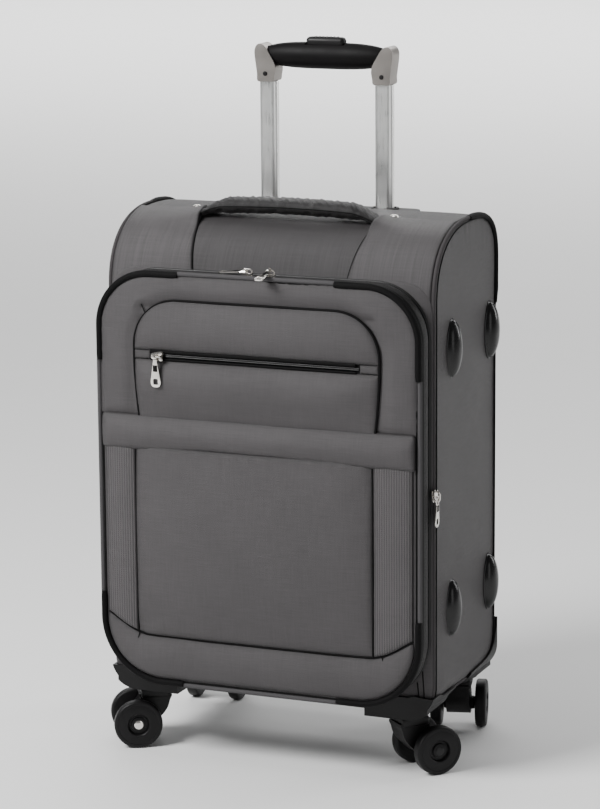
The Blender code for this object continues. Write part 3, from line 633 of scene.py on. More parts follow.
def pad(name, panel, height, back, to_world, look, body, replaces=(), lining="lining",
        pressure=None, cap=0.002):
    """A closed cloth pad: its front surface at height, its back face at one depth."""
    rows, columns = panel.shape
    front = to_world(panel.u, panel.v, height)
    rear = to_world(panel.u, panel.v, np.broadcast_to(back, panel.shape))
    if pressure:
        pinned = panel.distance < 0.0022
        outward = (front - rear).mean(axis=(0, 1))
        front = simulated(front, outward, pinned, pressure, cap, name + "_cloth")
    faces, corners = grid_faces(rows, columns)
    uv = [(panel.u[i, j], panel.v[i, j]) for i, j in corners]
    front_count = len(faces)
    back_faces, _ = grid_faces(rows, columns, start=rows * columns)
    faces += [face[::-1] for face in back_faces]
    back_corners = corners.reshape(-1, 4, 2)[:, ::-1].reshape(-1, 2)
    uv += [(panel.u[i, j], panel.v[i, j]) for i, j in back_corners]
    border = [(0, j) for j in range(columns)]
    border += [(i, columns - 1) for i in range(1, rows)]
    border += [(rows - 1, j) for j in range(columns - 2, -1, -1)]
    border += [(i, 0) for i in range(rows - 2, 0, -1)]
    for (i0, j0), (i1, j1) in zip(border, border[1:] + border[:1]):
        a, b = i0 * columns + j0, i1 * columns + j1
        faces.append((b, a, a + rows * columns, b + rows * columns))
        uv += [(panel.u[i, j], panel.v[i, j]) for i, j in ((i1, j1), (i0, j0), (i0, j0), (i1, j1))]
    # nearness to the pad's edge, which the cloth materials darken as painted shade
    seam = np.exp(-panel.distance / 0.0022).ravel()
    points = np.concatenate([front.reshape(-1, 3), rear.reshape(-1, 3)])
    obj = build_mesh(name, points, faces, uv, np.concatenate([seam, seam]), front_count, sharp=60)
    finish_piece(obj, look, body, replaces, lining)
    return obj


def to_front(u, v, height):
    """Panel coordinates (x, z) and a depth in front of the origin."""
    return np.stack([u, -height, v], axis=2)


# ---------------------------------------------------------------- lid and pockets

LID_BACK_DEPTH = -LID_HIGH.y
LID_FACE_DEPTH = -LID_LOW.y
# Depths in front of the origin at which each cloth part leaves its seam.
LID_DEPTH, BOTTOM_DEPTH, GUSSET_DEPTH, POCKET_DEPTH, ARCH_DEPTH, TAB_DEPTH = (
    0.1104, 0.1126, 0.1136, 0.1140, 0.1146, 0.1150
)
# Depths of the cords and zips laid on them.
SEAM_DEPTH, SIDE_CORD_DEPTH, DART_DEPTH, ARCH_CORD_DEPTH, CHAIN_DEPTH, WELT_DEPTH = (
    0.1140, 0.1146, 0.1150, 0.1152, 0.1153, 0.1158
)
EDGE_DEPTH = 0.1118  # the middle of the piping and trims round the lid
ARCH_HALF = ARCH_HIGH.x
ARCH_TOP = ARCH_HIGH.z
ARCH_RADIUS = 0.047
CENTRE_X = (-0.132, 0.124)  # the lower pocket's middle panel, between its side gussets
POCKET_HALF = 0.1655
SEAM_POINTS = (
    (-POCKET_HALF, 0.1505), (-0.132, 0.1325), (-0.090, 0.1292), (0.090, 0.1292), (0.132, 0.1325),
    (POCKET_HALF, 0.1505),
)


def curve_pieces(p0, p1, p2, p3, step):
    """The Catmull-Rom stretch from p1 to p2, without p2, about a step apart."""
    count = max(2, int(np.linalg.norm(p2 - p1) / step))
    square, cube = 2 * p0 - 5 * p1 + 4 * p2 - p3, 3 * p1 - p0 - 3 * p2 + p3
    return [0.5 * (2 * p1 + (p2 - p0) * t + square * t**2 + cube * t**3) for t in np.arange(count) / count]


def smooth_line(points, step=0.004):
    """A Catmull-Rom curve through points of any dimension, about a step apart."""
    points = np.asarray(points, float)
    padded = np.concatenate([2 * points[:1] - points[1:2], points, 2 * points[-1:] - points[-2:-1]])
    result = []
    for k in range(1, len(padded) - 2):
        result += curve_pieces(*padded[k - 1 : k + 3], step)
    result.append(points[-1])
    return np.array(result)


SEAM = smooth_line(SEAM_POINTS, 0.003)


def seam_height(x):
    """Height of the seam under the lower pocket."""
    return np.interp(x, SEAM[:, 0], SEAM[:, 1])


def arch_outline(step=0.004):
    return round_rect((-ARCH_HALF, ARCH_HALF), (BAND_HIGH.z - 0.004, ARCH_TOP), 0.002, ARCH_RADIUS, step)


def make_lid_shell():
    """The padded lid face, crowned between its piping and the pocket seams."""
    inset = 0.0008
    heights = (LID_BOTTOM + inset, LID_TOP - inset)
    left, right = edge_pair(half_outline(LID_HALF - inset, heights, LID_BOTTOM_RADIUS, LID_TOP_RADIUS))
    panel = Panel(left, right, 0.0045)
    d = panel.distance
    to_arch = edge_distance(panel.u, panel.v, arch_outline(0.006))
    above_band = panel.v > BAND_HIGH.z - 0.01
    height = LID_DEPTH + 0.0036 * rounded_edge(d, 0.007) + 0.0028 * swell(d, 0.016)
    height -= np.where(above_band, 0.0026 * np.exp(-((to_arch / 0.0075) ** 2)), 0)
    height += 0.0007 * drift(panel.u, panel.v, 1) + panel.puckers(1, 0.00045)
    inside_arch = (np.abs(panel.u) < ARCH_HALF - 0.006) & (panel.v < ARCH_TOP - 0.006)
    behind = inside_arch | (panel.v < BAND_HIGH.z)
    height = np.where(behind, np.minimum(height, LID_FACE_DEPTH - 0.0008), height)
    pad("lid_face", panel, height, LID_BACK_DEPTH + 0.0003, to_front, "front", "lid",
        ["lid_panel"])


def make_lower_pocket():
    """Middle panel between two ribbed gussets, over a seam that curves up at its ends."""
    top = BAND_LOW.z + 0.004
    x0, x1 = CENTRE_X
    columns = x0 + (x1 - x0) * graded(x1 - x0, coarse=0.0050)
    low = np.stack([columns, seam_height(columns) + 0.0006], 1)
    high = np.stack([columns, np.full_like(columns, top)], 1)
    panel = Panel(low, high, 0.0050)
    side = np.minimum(panel.u - x0, x1 - panel.u)
    floor = panel.v - seam_height(panel.u)
    height = POCKET_DEPTH + 0.0022 * rounded_edge(panel.distance, 0.006)
    height += 0.0062 * swell(side, 0.026) * swell(floor, 0.034) + 0.0018 * np.sin(
        math.pi * np.clip(floor / (top - POCKET_LOW.z), 0, 1)
    )
    for corner, lean, depth in ((x0, 1, 0.0016), (x1, -1, 0.0013)):
        out_x, up_z = (panel.u - corner) * lean, panel.v - seam_height(corner)
        for slope, weight in ((0.70, 1.0), (1.35, 0.7)):
            off = (out_x * slope - up_z) / math.hypot(1, slope)
            far = np.hypot(out_x, up_z)
            fade = np.exp(-far / 0.045) * np.clip(far / 0.010, 0, 1)
            height -= depth * weight * fade * np.exp(-((off / (0.0045 + 0.08 * far)) ** 2))
    height += 0.0010 * drift(panel.u, panel.v, 2, 0.13) + panel.puckers(3, 0.00045, 0.012)
    pad("lower_pocket_middle", panel, height, LID_FACE_DEPTH - 0.0010, to_front, "front", "lid",
        ["lower_pocket"], pressure=2.2, cap=0.0016)
    for name, inner, outer in (("left", x0, -POCKET_HALF), ("right", x1, POCKET_HALF)):
        columns = inner + (outer - inner) * graded(abs(outer - inner), coarse=0.004)
        low = np.stack([columns, seam_height(columns) + 0.0006], 1)
        high = np.stack([columns, np.full_like(columns, top)], 1)
        panel = Panel(low, high, 0.0055)
        across = np.clip((panel.u - inner) / (outer - inner), 0, 1)
        height = GUSSET_DEPTH + 0.0022 * rounded_edge(panel.distance, 0.005)
        height += 0.0017 * np.sin(math.pi * across**0.8) + 0.0003 * drift(panel.u, panel.v, 5)
        height += panel.puckers(6, 0.00025)
        pad("lower_pocket_gusset_" + name, panel, height, LID_FACE_DEPTH - 0.0010, to_front, "ribbed",
            "lid", pressure=1.5, cap=0.001)


def make_bottom_panel():
    """The panel below the pocket: it follows the lid's rounded bottom corners."""
    inset = 0.0052
    half = LID_HALF - inset
    radius = LID_BOTTOM_RADIUS - inset
    z0 = LID_BOTTOM + inset
    corner = arc_points((half - radius, z0 + radius), radius, -90, 0, 0.004)
    reach = corner[np.argsort(corner[:, 1])]
    flat = spaced((0, z0), (half - radius, z0), 0.005)
    right_low = np.concatenate([flat, reach])
    low = np.concatenate([right_low[:0:-1] * (-1, 1), right_low])
    share = np.linspace(-1, 1, len(low))
    seam_x = np.sign(share) * np.abs(share) ** 0.92 * POCKET_HALF
    high = np.stack([seam_x, seam_height(seam_x) - 0.0004], 1)
    panel = Panel(low, high, 0.0045)
    along = np.clip((panel.v - z0) / (seam_height(panel.u) - z0), 0, 1)
    height = BOTTOM_DEPTH + 0.0030 * rounded_edge(panel.distance, 0.007)
    height += 0.0030 * np.sin(math.pi * along**0.9) * swell(np.abs(np.abs(panel.u) - 0.172), 0.03)
    for dart in (-0.131, 0.133):
        foot = seam_height(dart)
        drop = np.clip((foot - panel.v) / 0.012, 0, 3)
        height -= 0.0016 * np.exp(-(((panel.u - dart) / 0.0022) ** 2)) * np.exp(-drop)
        height -= 0.0007 * np.exp(-(((panel.u - dart) / 0.010) ** 2)) * np.exp(-drop / 1.6)
    height += 0.0006 * drift(panel.u, panel.v, 8) + panel.puckers(9, 0.00060)
    pad("lid_bottom_cloth", panel, height, LID_FACE_DEPTH - 0.0012, to_front, "front", "lid",
        ["lid_bottom_panel"], pressure=1.8, cap=0.0012)


def make_upper_pocket():
    """An arched top part and a bulging lower part, with the zip let in between them."""
    zip_low, zip_high = ZIP_LOW.z, ZIP_HIGH.z
    left, right = edge_pair(
        half_outline(ARCH_HALF, (zip_high, ARCH_TOP), 0.0012, ARCH_RADIUS, 0.0045)
    )
    panel = Panel(left, right, 0.0050)
    up = np.clip((panel.v - zip_high) / (ARCH_TOP - zip_high), 0, 1)
    height = ARCH_DEPTH + 0.0022 * rounded_edge(panel.distance, 0.005)
    height += 0.0042 * np.sin(math.pi * up**0.70) * swell(ARCH_HALF - np.abs(panel.u), 0.020)
    height += 0.0007 * drift(panel.u, panel.v, 11) + panel.puckers(12, 0.00045)
    pad("upper_pocket_arch", panel, height, LID_FACE_DEPTH - 0.0012, to_front, "front", "lid",
        ["upper_pocket"], pressure=1.8, cap=0.0012)

    low_z, top_z = BAND_HIGH.z - 0.006, zip_low
    left, right = edge_pair(half_outline(ARCH_HALF, (low_z, top_z), 0.0012, 0.0012, 0.0045))
    left[:, 0] += 0.0045 * np.clip((top_z - left[:, 1]) / (top_z - low_z), 0, 1) ** 1.5
    right[:, 0] = -left[:, 0]
    panel = Panel(left, right, 0.0050)
    up = np.clip((panel.v - low_z) / (top_z - low_z), 0, 1)
    height = POCKET_DEPTH + 0.0024 * rounded_edge(panel.distance, 0.0055)
    height += 0.0070 * np.sin(math.pi * up**1.9) * swell(ARCH_HALF - np.abs(panel.u), 0.018)
    height += 0.0008 * drift(panel.u, panel.v, 14) + panel.puckers(15, 0.00050)
    pad("upper_pocket_pouch", panel, height, LID_FACE_DEPTH - 0.0012, to_front, "front", "lid",
        pressure=2.0, cap=0.0014)

    edge = ARCH_HALF - 0.0006
    for name, start, end in (("left", -edge, ZIP_LOW.x), ("right", ZIP_HIGH.x, edge)):
        left = np.array([(start, zip_low + (zip_high - zip_low) * t) for t in graded(zip_high - zip_low)])
        right = left.copy()
        right[:, 0] = end
        panel = Panel(left, right, 0.003)
        height = TAB_DEPTH + 0.0016 * rounded_edge(panel.distance, 0.0022)
        height += 0.0001 * drift(panel.u, panel.v, 17)
        pad("pocket_zip_tab_" + name, panel, height, LID_FACE_DEPTH - 0.0008, to_front, "front", "lid")


def make_band():
    """The padded band across the lid, rounded over its long edges."""
    low, high = BAND_LOW.z - 0.0012, BAND_HIGH.z + 0.0012
    half = BAND_HIGH.x + 0.0035
    left, right = edge_pair(half_outline(half, (low, high), 0.004, 0.004, 0.004, 0.0005))
    panel = Panel(left, right, 0.0045)
    up = np.clip((panel.v - low) / (high - low), 0, 1)
    ends = swell(half - np.abs(panel.u), 0.012)
    height = POCKET_DEPTH + 0.0030 * rounded_edge(panel.distance, 0.005)
    height += 0.0055 * np.sin(math.pi * up) ** 0.8 * (0.35 + 0.65 * ends)
    height += 0.0008 * drift(panel.u, panel.v, 20, 0.07) + panel.puckers(21, 0.00060)
    pad("pocket_band_cloth", panel, height, LID_FACE_DEPTH - 0.0010, to_front, "band", "lid",
        ["pocket_band"], pressure=2.5, cap=0.0016)


def flat_cord(name, path, look, body, radius):
    """Piping: a cloth cord along a path in the lid's plane."""
    obj = sweep(name, path, (0, -1, 0), ellipse(radius, radius, count=12))
    return finish_piece(obj, look, body)


def make_lid_piping():
    arch = arch_outline(0.0035)
    upper = arch[:, 1] > BAND_HIGH.z - 0.003
    for run in runs(upper):
        points = arch[run]
        lean = 0.0045 * np.clip((ZIP_LOW.z - points[:, 1]) / (ZIP_LOW.z - BAND_HIGH.z), 0, 1) ** 1.5
        points[:, 0] -= np.sign(points[:, 0]) * lean
        path = front_path(points, ARCH_CORD_DEPTH)
        flat_cord("arch_piping", path, "binding", "lid", 0.0014)
    x0, x1 = CENTRE_X
    top = BAND_LOW.z + 0.002
    for name, x in (("left", x0), ("right", x1)):
        line = spaced((x, seam_height(x)), (x, top), 0.004)
        path = front_path(line, SIDE_CORD_DEPTH)
        flat_cord("pocket_piping_" + name, path, "binding", "lid", 0.0013)
    flat_cord("pocket_seam_piping", front_path(SEAM, SEAM_DEPTH), "binding", "lid", 0.0012)
    for name, start, end in (
        ("arch_left", (-0.119, 0.4615), (-0.1232, 0.4705)),
        ("bottom_left", (-0.131, 0.1318), (-0.1345, 0.1195)),
        ("bottom_right", (0.133, 0.1325), (0.1365, 0.1200)),
    ):
        line = np.concatenate([spaced(start, end, 0.002), [end]])
        depth = SIDE_CORD_DEPTH if name == "arch_left" else DART_DEPTH
        flat_cord("dart_" + name, front_path(line, depth), "thread_and_seam_shade", "lid", 0.0005)


def is_trim(outline):
    """Where the lid's edge carries a black corner trim and not the light piping."""
    x, z = np.abs(outline[:, 0]), outline[:, 1]
    return (x > TRIM_X) & ((z > TRIM_HIGH_Z) | (z < TRIM_LOW_Z))


def make_lid_edge():
    """Light piping round the lid, wide black trims at its corners, and its cloth side."""
    outline = lid_outline(0.0, 0.0025)
    trim = is_trim(outline)
    lapped = ~trim | np.roll(~trim, 1) | np.roll(~trim, -1)
    for kind, mask in (("piping", lapped), ("trim", trim)):
        for number, run in enumerate(runs(mask)):
            path = front_path(outline[run], EDGE_DEPTH)
            if kind == "piping":
                profile = ellipse(0.0023, 0.0021, (0.0002, 0.0006), 14)
                obj = sweep(f"lid_piping_{number}", path, (0, -1, 0), profile)
                finish_piece(obj, "piping", "lid")
            else:
                profile = ellipse(0.0034, 0.0038, (-0.0012, 0.0009), 16)
                ends = np.minimum(np.arange(len(run)), np.arange(len(run))[::-1])
                obj = sweep(f"lid_corner_trim_{number}", path, (0, -1, 0), profile,
                            scale=0.90 + 0.10 * np.clip(ends / 2, 0, 1))
                finish_piece(obj, "binding", "lid")
    side = front_path(lid_outline(0.0, 0.005), 0)
    profile = strip_profile(0.1068, 0.1105, -0.0002, 0.0005, 0.0016)
    # the lid's side strip, in the strip cloth darkened as painted shade
    obj = sweep("lid_side_strip", side, (0, -1, 0), profile, True)
    finish_piece(obj, "strip", "lid")
    # painted shade: a dark cord in the groove just inside the lid's piping
    path = front_path(lid_outline(0.0034, 0.004), EDGE_DEPTH + 0.0004)
    groove_shade = sweep("lid_piping_seam", path, (0, -1, 0), ellipse(0.0011, 0.0011, count=8), True)
    finish_piece(groove_shade, "thread_and_seam_shade", "lid")


def make_expansion_frame():
    """The cloth-covered frame between the two zips."""
    side = front_path(lid_outline(0.0, 0.005), 0)
    profile = strip_profile(0.0884, 0.1004, -0.0004, 0.0013, 0.0030, 8)
    # the frame's cloth is the strip cloth, darkened as painted shade
    obj = sweep("expansion_frame_cloth", side, (0, -1, 0), profile, True)
    finish_piece(obj, "strip", "expansion", ["expansion_frame"])


COIL_PITCH = 0.0021


def coil_scale(along):
    """A zip coil's thickness along its way: each turn shows as a rib."""
    return 0.86 + 0.18 * np.abs(np.sin(math.pi * along / COIL_PITCH))


def coil(name, path_outline, depth, out, radius, body, replaces=()):
    """Half of a zip's chain."""
    path = front_path(path_outline, depth)
    bead = ellipse(radius, radius * 0.72, (out, 0), 8)
    obj = sweep(name, path, (0, -1, 0), bead, True, scale=coil_scale(lengths(path, True)[:-1]))
    return finish_piece(obj, "chain", body, replaces)


def make_zips():
    """Two tapes and two half chains for each of the long zips."""
    fine = lid_outline(0.0, 0.0007)
    coarse = front_path(lid_outline(0.0, 0.005), 0)
    zips = (
        ("expansion_zip", EXPANSION_ZIP_Y, ("suitcase_body", 0.0800), ("expansion", 0.0886), ()),
        ("main_zip", MAIN_ZIP_Y, ("expansion", 0.1002), ("lid", 0.1070), ("main_zip",)),
    )
    for name, middle, (rear_body, rear), (front_body, front), stands_for in zips:
        for half, body, edge, sign, nodes in (
            ("rear", rear_body, rear, -1, stands_for), ("front", front_body, front, 1, ())
        ):
            low, high = sorted((edge, middle + sign * 0.0003))
            profile = strip_profile(low, high, -0.0016, 0.0003, 0.0008, 4)
            tape = sweep(f"{name}_tape_{half}", coarse, (0, -1, 0), profile, True)
            finish_piece(tape, "tape", body)
            depth = middle + sign * 0.0008
            coil(f"{name}_chain_{half}", fine, depth, -0.0008, 0.0014, body, nodes)


def make_pocket_zip():
    """The pocket's zip: tapes behind two black welts, and the chain between them."""
    (x0, x1), (z0, z1) = (ZIP_LOW.x, ZIP_HIGH.x), (ZIP_LOW.z, ZIP_HIGH.z)
    middle = (z0 + z1) / 2
    left = np.array([(x0 - 0.003, z0 - 0.002 + (z1 - z0 + 0.004) * t) for t in np.linspace(0, 1, 8)])
    right = left.copy()
    right[:, 0] = x1 + 0.003
    panel = Panel(left, right, 0.01)
    pad("pocket_zip_tape", panel, np.full(panel.shape, 0.1144), 0.1133, to_front, "tape", "lid",
        ["pocket_zip"])
    for name, z, radius in (("upper", z1 - 0.0006, 0.0021), ("lower", z0 + 0.0006, 0.0013)):
        line = spaced((x0, z), (x1, z), 0.004)
        path = front_path(line, WELT_DEPTH)
        flat_cord("pocket_zip_welt_" + name, path, "binding", "lid", radius)
    for name, shift in (("upper", 0.0008), ("lower", -0.0008)):
        line = spaced((x0, middle + shift), (x1, middle + shift), 0.0007)
        path, bead = front_path(line, CHAIN_DEPTH), ellipse(0.0010, 0.0013, count=8)
        obj = sweep("pocket_zip_chain_" + name, path, (0, -1, 0), bead, scale=coil_scale(line[:, 0]))
        finish_piece(obj, "chain", "lid")


def make_gusset():
    """The folded cloth band that opens out when the real suitcase is expanded, built here folded."""
    outline = lid_outline(0.0052, 0.006)
    low, high = 0.0828, 0.1050
    share = np.linspace(0, 1, 17)
    pleat = 0.0045 * (0.5 - 0.5 * np.cos(share * math.tau * 2))
    depth = low + (high - low) * share
    out = plane_frames(front_path(outline, 0), (0, -1, 0), True)
    base = front_path(outline, 0)
    points = base[None, :, :] - out[None, :, :] * pleat[:, None, None]
    points[:, :, 1] = -depth[:, None]
    faces, corners = grid_faces(len(share), len(outline), False, True)
    girth = lengths(base, True)
    run = lengths(np.stack([pleat, depth], 1), False)
    uv = [(girth[j], run[i]) for i, j in corners]
    obj = build_mesh("expansion_gusset_cloth", points.reshape(-1, 3), faces, uv)
    finish_piece(obj, "lining", None, ["expansion_gusset"])
    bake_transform(obj)


def make_lid_lining():
    """What shows inside when the lid is open: a lining, a hinge strip and a binding."""
    inset = 0.004
    heights = (LID_BOTTOM + inset, LID_TOP - inset)
    radii = (LID_BOTTOM_RADIUS - inset, LID_TOP_RADIUS - inset)
    left, right = edge_pair(half_outline(LID_HALF - inset, heights, *radii))
    panel = Panel(left, right, 0.008)
    height = 0.1060 - 0.0018 * rounded_edge(panel.distance, 0.006) + 0.0004 * drift(panel.u, panel.v, 30)
    pad("lid_lining", panel, height, 0.1062, to_front, "lining", "lid")
    binding = sweep("lid_lining_binding", front_path(lid_outline(0.0046, 0.005), 0.1056), (0, -1, 0),
                    ellipse(0.0022, 0.0012, count=10), True)
    finish_piece(binding, "binding", "lid")
    rows = []
    for z in np.linspace(LID_BOTTOM + 0.070, LID_TOP - 0.060, 40):
        line = [(-LID_HALF + 0.0012 - 0.0016 * math.sin(math.pi * t), -0.0990 - 0.0100 * t, z)
                for t in np.linspace(0, 1, 14)]
        back = [(x + 0.0010, y, z) for x, y, z in reversed(line)]
        rows.append(line + back)
    strip = tube_mesh("lid_hinge_cloth", rows, sharp=60)
    finish_piece(strip, "tape", None)
    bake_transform(strip)


# ---------------------------------------------------------------- body


def top_profile(steps=72):
    """(y, z) points over the body's top, from its front shoulder to its rear one."""
    points = []
    for k in range(steps + 1):
        angle = math.pi * (1 - k / steps)
        c, s = math.cos(angle), math.sin(angle)
        if c < 0:
            reach, base, power = CROWN_Y - BODY_FRONT, FRONT_SHOULDER_Z, 2 / 2.35
        else:
            reach, base, power = BODY_BACK - CROWN_Y, REAR_SHOULDER_Z, 2 / 3.0
        y = CROWN_Y + math.copysign(reach * abs(c) ** power, c)
        points.append((y, base + (BODY_TOP - base) * max(s, 0.0) ** power))
    points = np.array(points)
    points[-1] = (BODY_BACK, REAR_SHOULDER_Z)
    return points


def profile_normals(points):
    tangent = np.gradient(points, axis=0)
    tangent /= np.linalg.norm(tangent, axis=1)[:, None]
    return np.stack([-tangent[:, 1], tangent[:, 0]], 1)


def even(points, step):
    """The same polyline with its points evenly spaced."""
    along = lengths(points, False)
    count = max(2, int(round(along[-1] / step)))
    wanted = np.linspace(0, along[-1], count + 1)
    return np.stack([np.interp(wanted, along, points[:, k]) for k in range(points.shape[1])], 1)


PROFILE = even(top_profile(), 0.0035)
PROFILE_NORMAL = profile_normals(PROFILE)
PROFILE_LENGTH = lengths(PROFILE, False)


def on_top(u, v, height):
    """Top coordinates: x, the way along the profile from the front, and height above it."""
    y = np.interp(v, PROFILE_LENGTH, PROFILE[:, 0])
    z = np.interp(v, PROFILE_LENGTH, PROFILE[:, 1])
    ny = np.interp(v, PROFILE_LENGTH, PROFILE_NORMAL[:, 0])
    nz = np.interp(v, PROFILE_LENGTH, PROFILE_NORMAL[:, 1])
    return np.stack([u, y + ny * height, z + nz * height], axis=2)


def way_along(y):
    """How far along the top profile a given y lies."""
    return float(np.interp(y, PROFILE[:, 0], PROFILE_LENGTH))


def make_top():
    half = HALF_WIDTH - 0.0030
    slot_start, slot_end = way_along(BEZEL_LOW.y), way_along(BEZEL_HIGH.y)
    slot_half = BEZEL_HIGH.x
    total = PROFILE_LENGTH[-1]
    regions = (
        ("front", -half, half, 0.0, slot_start, ["top_panel"]),
        ("left", -half, -slot_half, slot_start, slot_end, []),
        ("right", slot_half, half, slot_start, slot_end, []),
        ("rear", -half, half, slot_end, total, []),
    )
    for name, x0, x1, v0, v1, nodes in regions:
        rows = v0 + (v1 - v0) * np.linspace(0, 1, max(3, int((v1 - v0) / 0.005)))
        left = np.stack([np.full_like(rows, x0), rows], 1)
        right = np.stack([np.full_like(rows, x1), rows], 1)
        panel = Panel(left, right, 0.006)
        side = half - np.abs(panel.u)
        height = -0.0006 + 0.0016 * swell(side, 0.012) + 0.0004 * drift(panel.u, panel.v, 40)
        # the middle under the handle takes the darker cloth of painted shadow
        look = "top_middle_painted_shadow" if name == "front" else "top"
        pad("top_cloth_" + name, panel, height, -0.0030, on_top, look, "suitcase_body", nodes)


def make_patches():
    """Raised cloth patches either side of the top carry handle."""
    end = way_along(-0.008)
    for name, side in (("left", -1), ("right", 1)):
        rows = end * graded(end, 0.0006, 0.005)
        inner = side * (0.0780 + 0.0190 * (rows / end) ** 0.8)
        outer = np.full_like(rows, side * (HALF_WIDTH - 0.0030))
        panel = Panel(np.stack([inner, rows], 1), np.stack([outer, rows], 1), 0.005, 0.0006)
        height = 0.0008 + 0.0020 * rounded_edge(panel.distance, 0.0022)
        height += 0.0009 * swell(panel.distance, 0.018) + 0.0004 * drift(panel.u, panel.v, 44 + side)
        near_handle = np.exp(-np.abs(panel.u - side * 0.0925) / 0.015)
        height += 0.0082 * near_handle * np.exp(-(((panel.v - way_along(-0.024)) / 0.019) ** 4))
        pad("top_patch_" + name, panel, height, 0.0001, on_top, "top", "suitcase_body")
        seam_line = panel.u[:, 0], panel.v[:, 0]
        path = on_top(seam_line[0][:, None], seam_line[1][:, None], np.full((len(rows), 1), 0.0012))[:, 0]
        obj = sweep_free("patch_seam_" + name, path, 0.0008)
        finish_piece(obj, "thread_and_seam_shade", "suitcase_body")
        back_x = np.linspace(inner[-1], outer[-1], 30)
        path = on_top(back_x[:, None], np.full((30, 1), end + 0.0006), np.full((30, 1), 0.0012))[:, 0]
        obj = sweep_free("patch_back_seam_" + name, path, 0.0008)
        finish_piece(obj, "thread_and_seam_shade", "suitcase_body")


def sweep_free(name, path, radius, count=10, flatten=1.0, up=(0, 0, 1), closed=False):
    """An oval tube along any path; its frames turn as little as they can."""
    path = np.asarray(path, float)
    tangent = np.roll(path, -1, 0) - np.roll(path, 1, 0) if closed else np.gradient(path, axis=0)
    tangent /= np.linalg.norm(tangent, axis=1)[:, None]
    side = np.cross(tangent, np.asarray(up, float))
    weak = np.linalg.norm(side, axis=1) < 1e-6
    side[weak] = (1, 0, 0)
    side /= np.linalg.norm(side, axis=1)[:, None]
    top = np.cross(side, tangent)
    angles = np.arange(count) * math.tau / count
    ring = np.cos(angles)[None, :, None] * side[:, None, :]
    ring = ring + flatten * np.sin(angles)[None, :, None] * top[:, None, :]
    return tube_mesh(name, path[:, None, :] + ring * radius, closed)


CORNER_ROUND = 0.026  # how far the body's bottom corners are rounded, seen from the front


def rounded_corner(points):
    """Points of a square-cornered body, with both bottom corners rounded as seen from the front."""
    points = np.array(points, dtype=float)
    side, down = np.abs(points[..., 0]), points[..., 2]
    across = (side - (HALF_WIDTH - CORNER_ROUND)) / CORNER_ROUND
    below = (BODY_BOTTOM + CORNER_ROUND - down) / CORNER_ROUND
    inside = (across > 0) & (below > 0)
    share = np.maximum(across, below) / np.maximum(np.hypot(across, below), 1e-9)
    new_side = HALF_WIDTH - CORNER_ROUND + CORNER_ROUND * across * share
    new_down = BODY_BOTTOM + CORNER_ROUND - CORNER_ROUND * below * share
    points[..., 0] = np.where(inside, np.sign(points[..., 0]) * new_side, points[..., 0])
    points[..., 2] = np.where(inside, new_down, down)
    return points


def rounded_mesh(mesh):
    """A hard piece cut finely near the bottom corners and rounded there."""
    bm = bmesh.new()
    bm.from_mesh(mesh)
    steps = np.linspace(0.0, 1.0, 9)
    sides = [sign * (HALF_WIDTH - CORNER_ROUND * t) for t in steps for sign in (-1, 1)]
    cuts = [((x, 0, 0), (1, 0, 0)) for x in sides]
    cuts += [((0, 0, BODY_BOTTOM + CORNER_ROUND * t), (0, 0, 1)) for t in steps]
    bmesh.ops.triangulate(bm, faces=bm.faces)
    for spot, normal in cuts:
        parts = list(bm.verts) + list(bm.edges) + list(bm.faces)
        bmesh.ops.bisect_plane(bm, geom=parts, dist=1e-6, plane_co=spot, plane_no=normal)
    for vertex, spot in zip(bm.verts, rounded_corner([tuple(v.co) for v in bm.verts])):
        vertex.co = tuple(spot)
    bmesh.ops.remove_doubles(bm, verts=bm.verts, dist=1e-6)
    bmesh.ops.triangulate(bm, faces=[face for face in bm.faces if len(face.verts) > 4])
    bm.to_mesh(mesh)
    bm.free()
    return mesh


def to_side(sign):
    """Panel coordinates (y, z) on a side of the body, height outward from x = 0."""
    return lambda u, v, height: rounded_corner(np.stack([sign * height, u, v], axis=2))


def side_outline():
    """The side panel's closed outline in (y, z), from the bottom front corner."""
    profile = top_profile()
    front, back = BODY_FRONT, BODY_BACK
    low = spaced((back, BODY_BOTTOM), (front, BODY_BOTTOM), 0.005)
    up = spaced((front, BODY_BOTTOM), (front, FRONT_SHOULDER_Z), 0.005)
    down = spaced((back, REAR_SHOULDER_Z), (back, BODY_BOTTOM), 0.005)
    return np.concatenate([up, even(profile, 0.004)[:-1], down, low])


def make_sides():
    profile = top_profile()
    y = BODY_FRONT + (BODY_BACK - BODY_FRONT) * graded(BODY_BACK - BODY_FRONT, 0.0004, 0.0045, 1.35)
    top = np.interp(y, profile[:, 0], profile[:, 1])
    for name, sign in (("left", -1), ("right", 1)):
        low = np.stack([y, np.full_like(y, BODY_BOTTOM)], 1)
        high = np.stack([y, top - 0.0010], 1)
        panel = Panel(low, high, 0.0060)
        height = HALF_WIDTH - 0.0020 + 0.0020 * rounded_edge(panel.distance, 0.006)
        height += 0.0014 * swell(panel.distance, 0.035)
        height += 0.0011 * drift(panel.u, panel.v, 50 + sign, 0.16)
        height += panel.puckers(52, 0.00045, 0.014)
        pad("side_cloth_" + name, panel, height, HALF_WIDTH - 0.0040, to_side(sign), "side",
            "suitcase_body", ["side_panel_" + name])


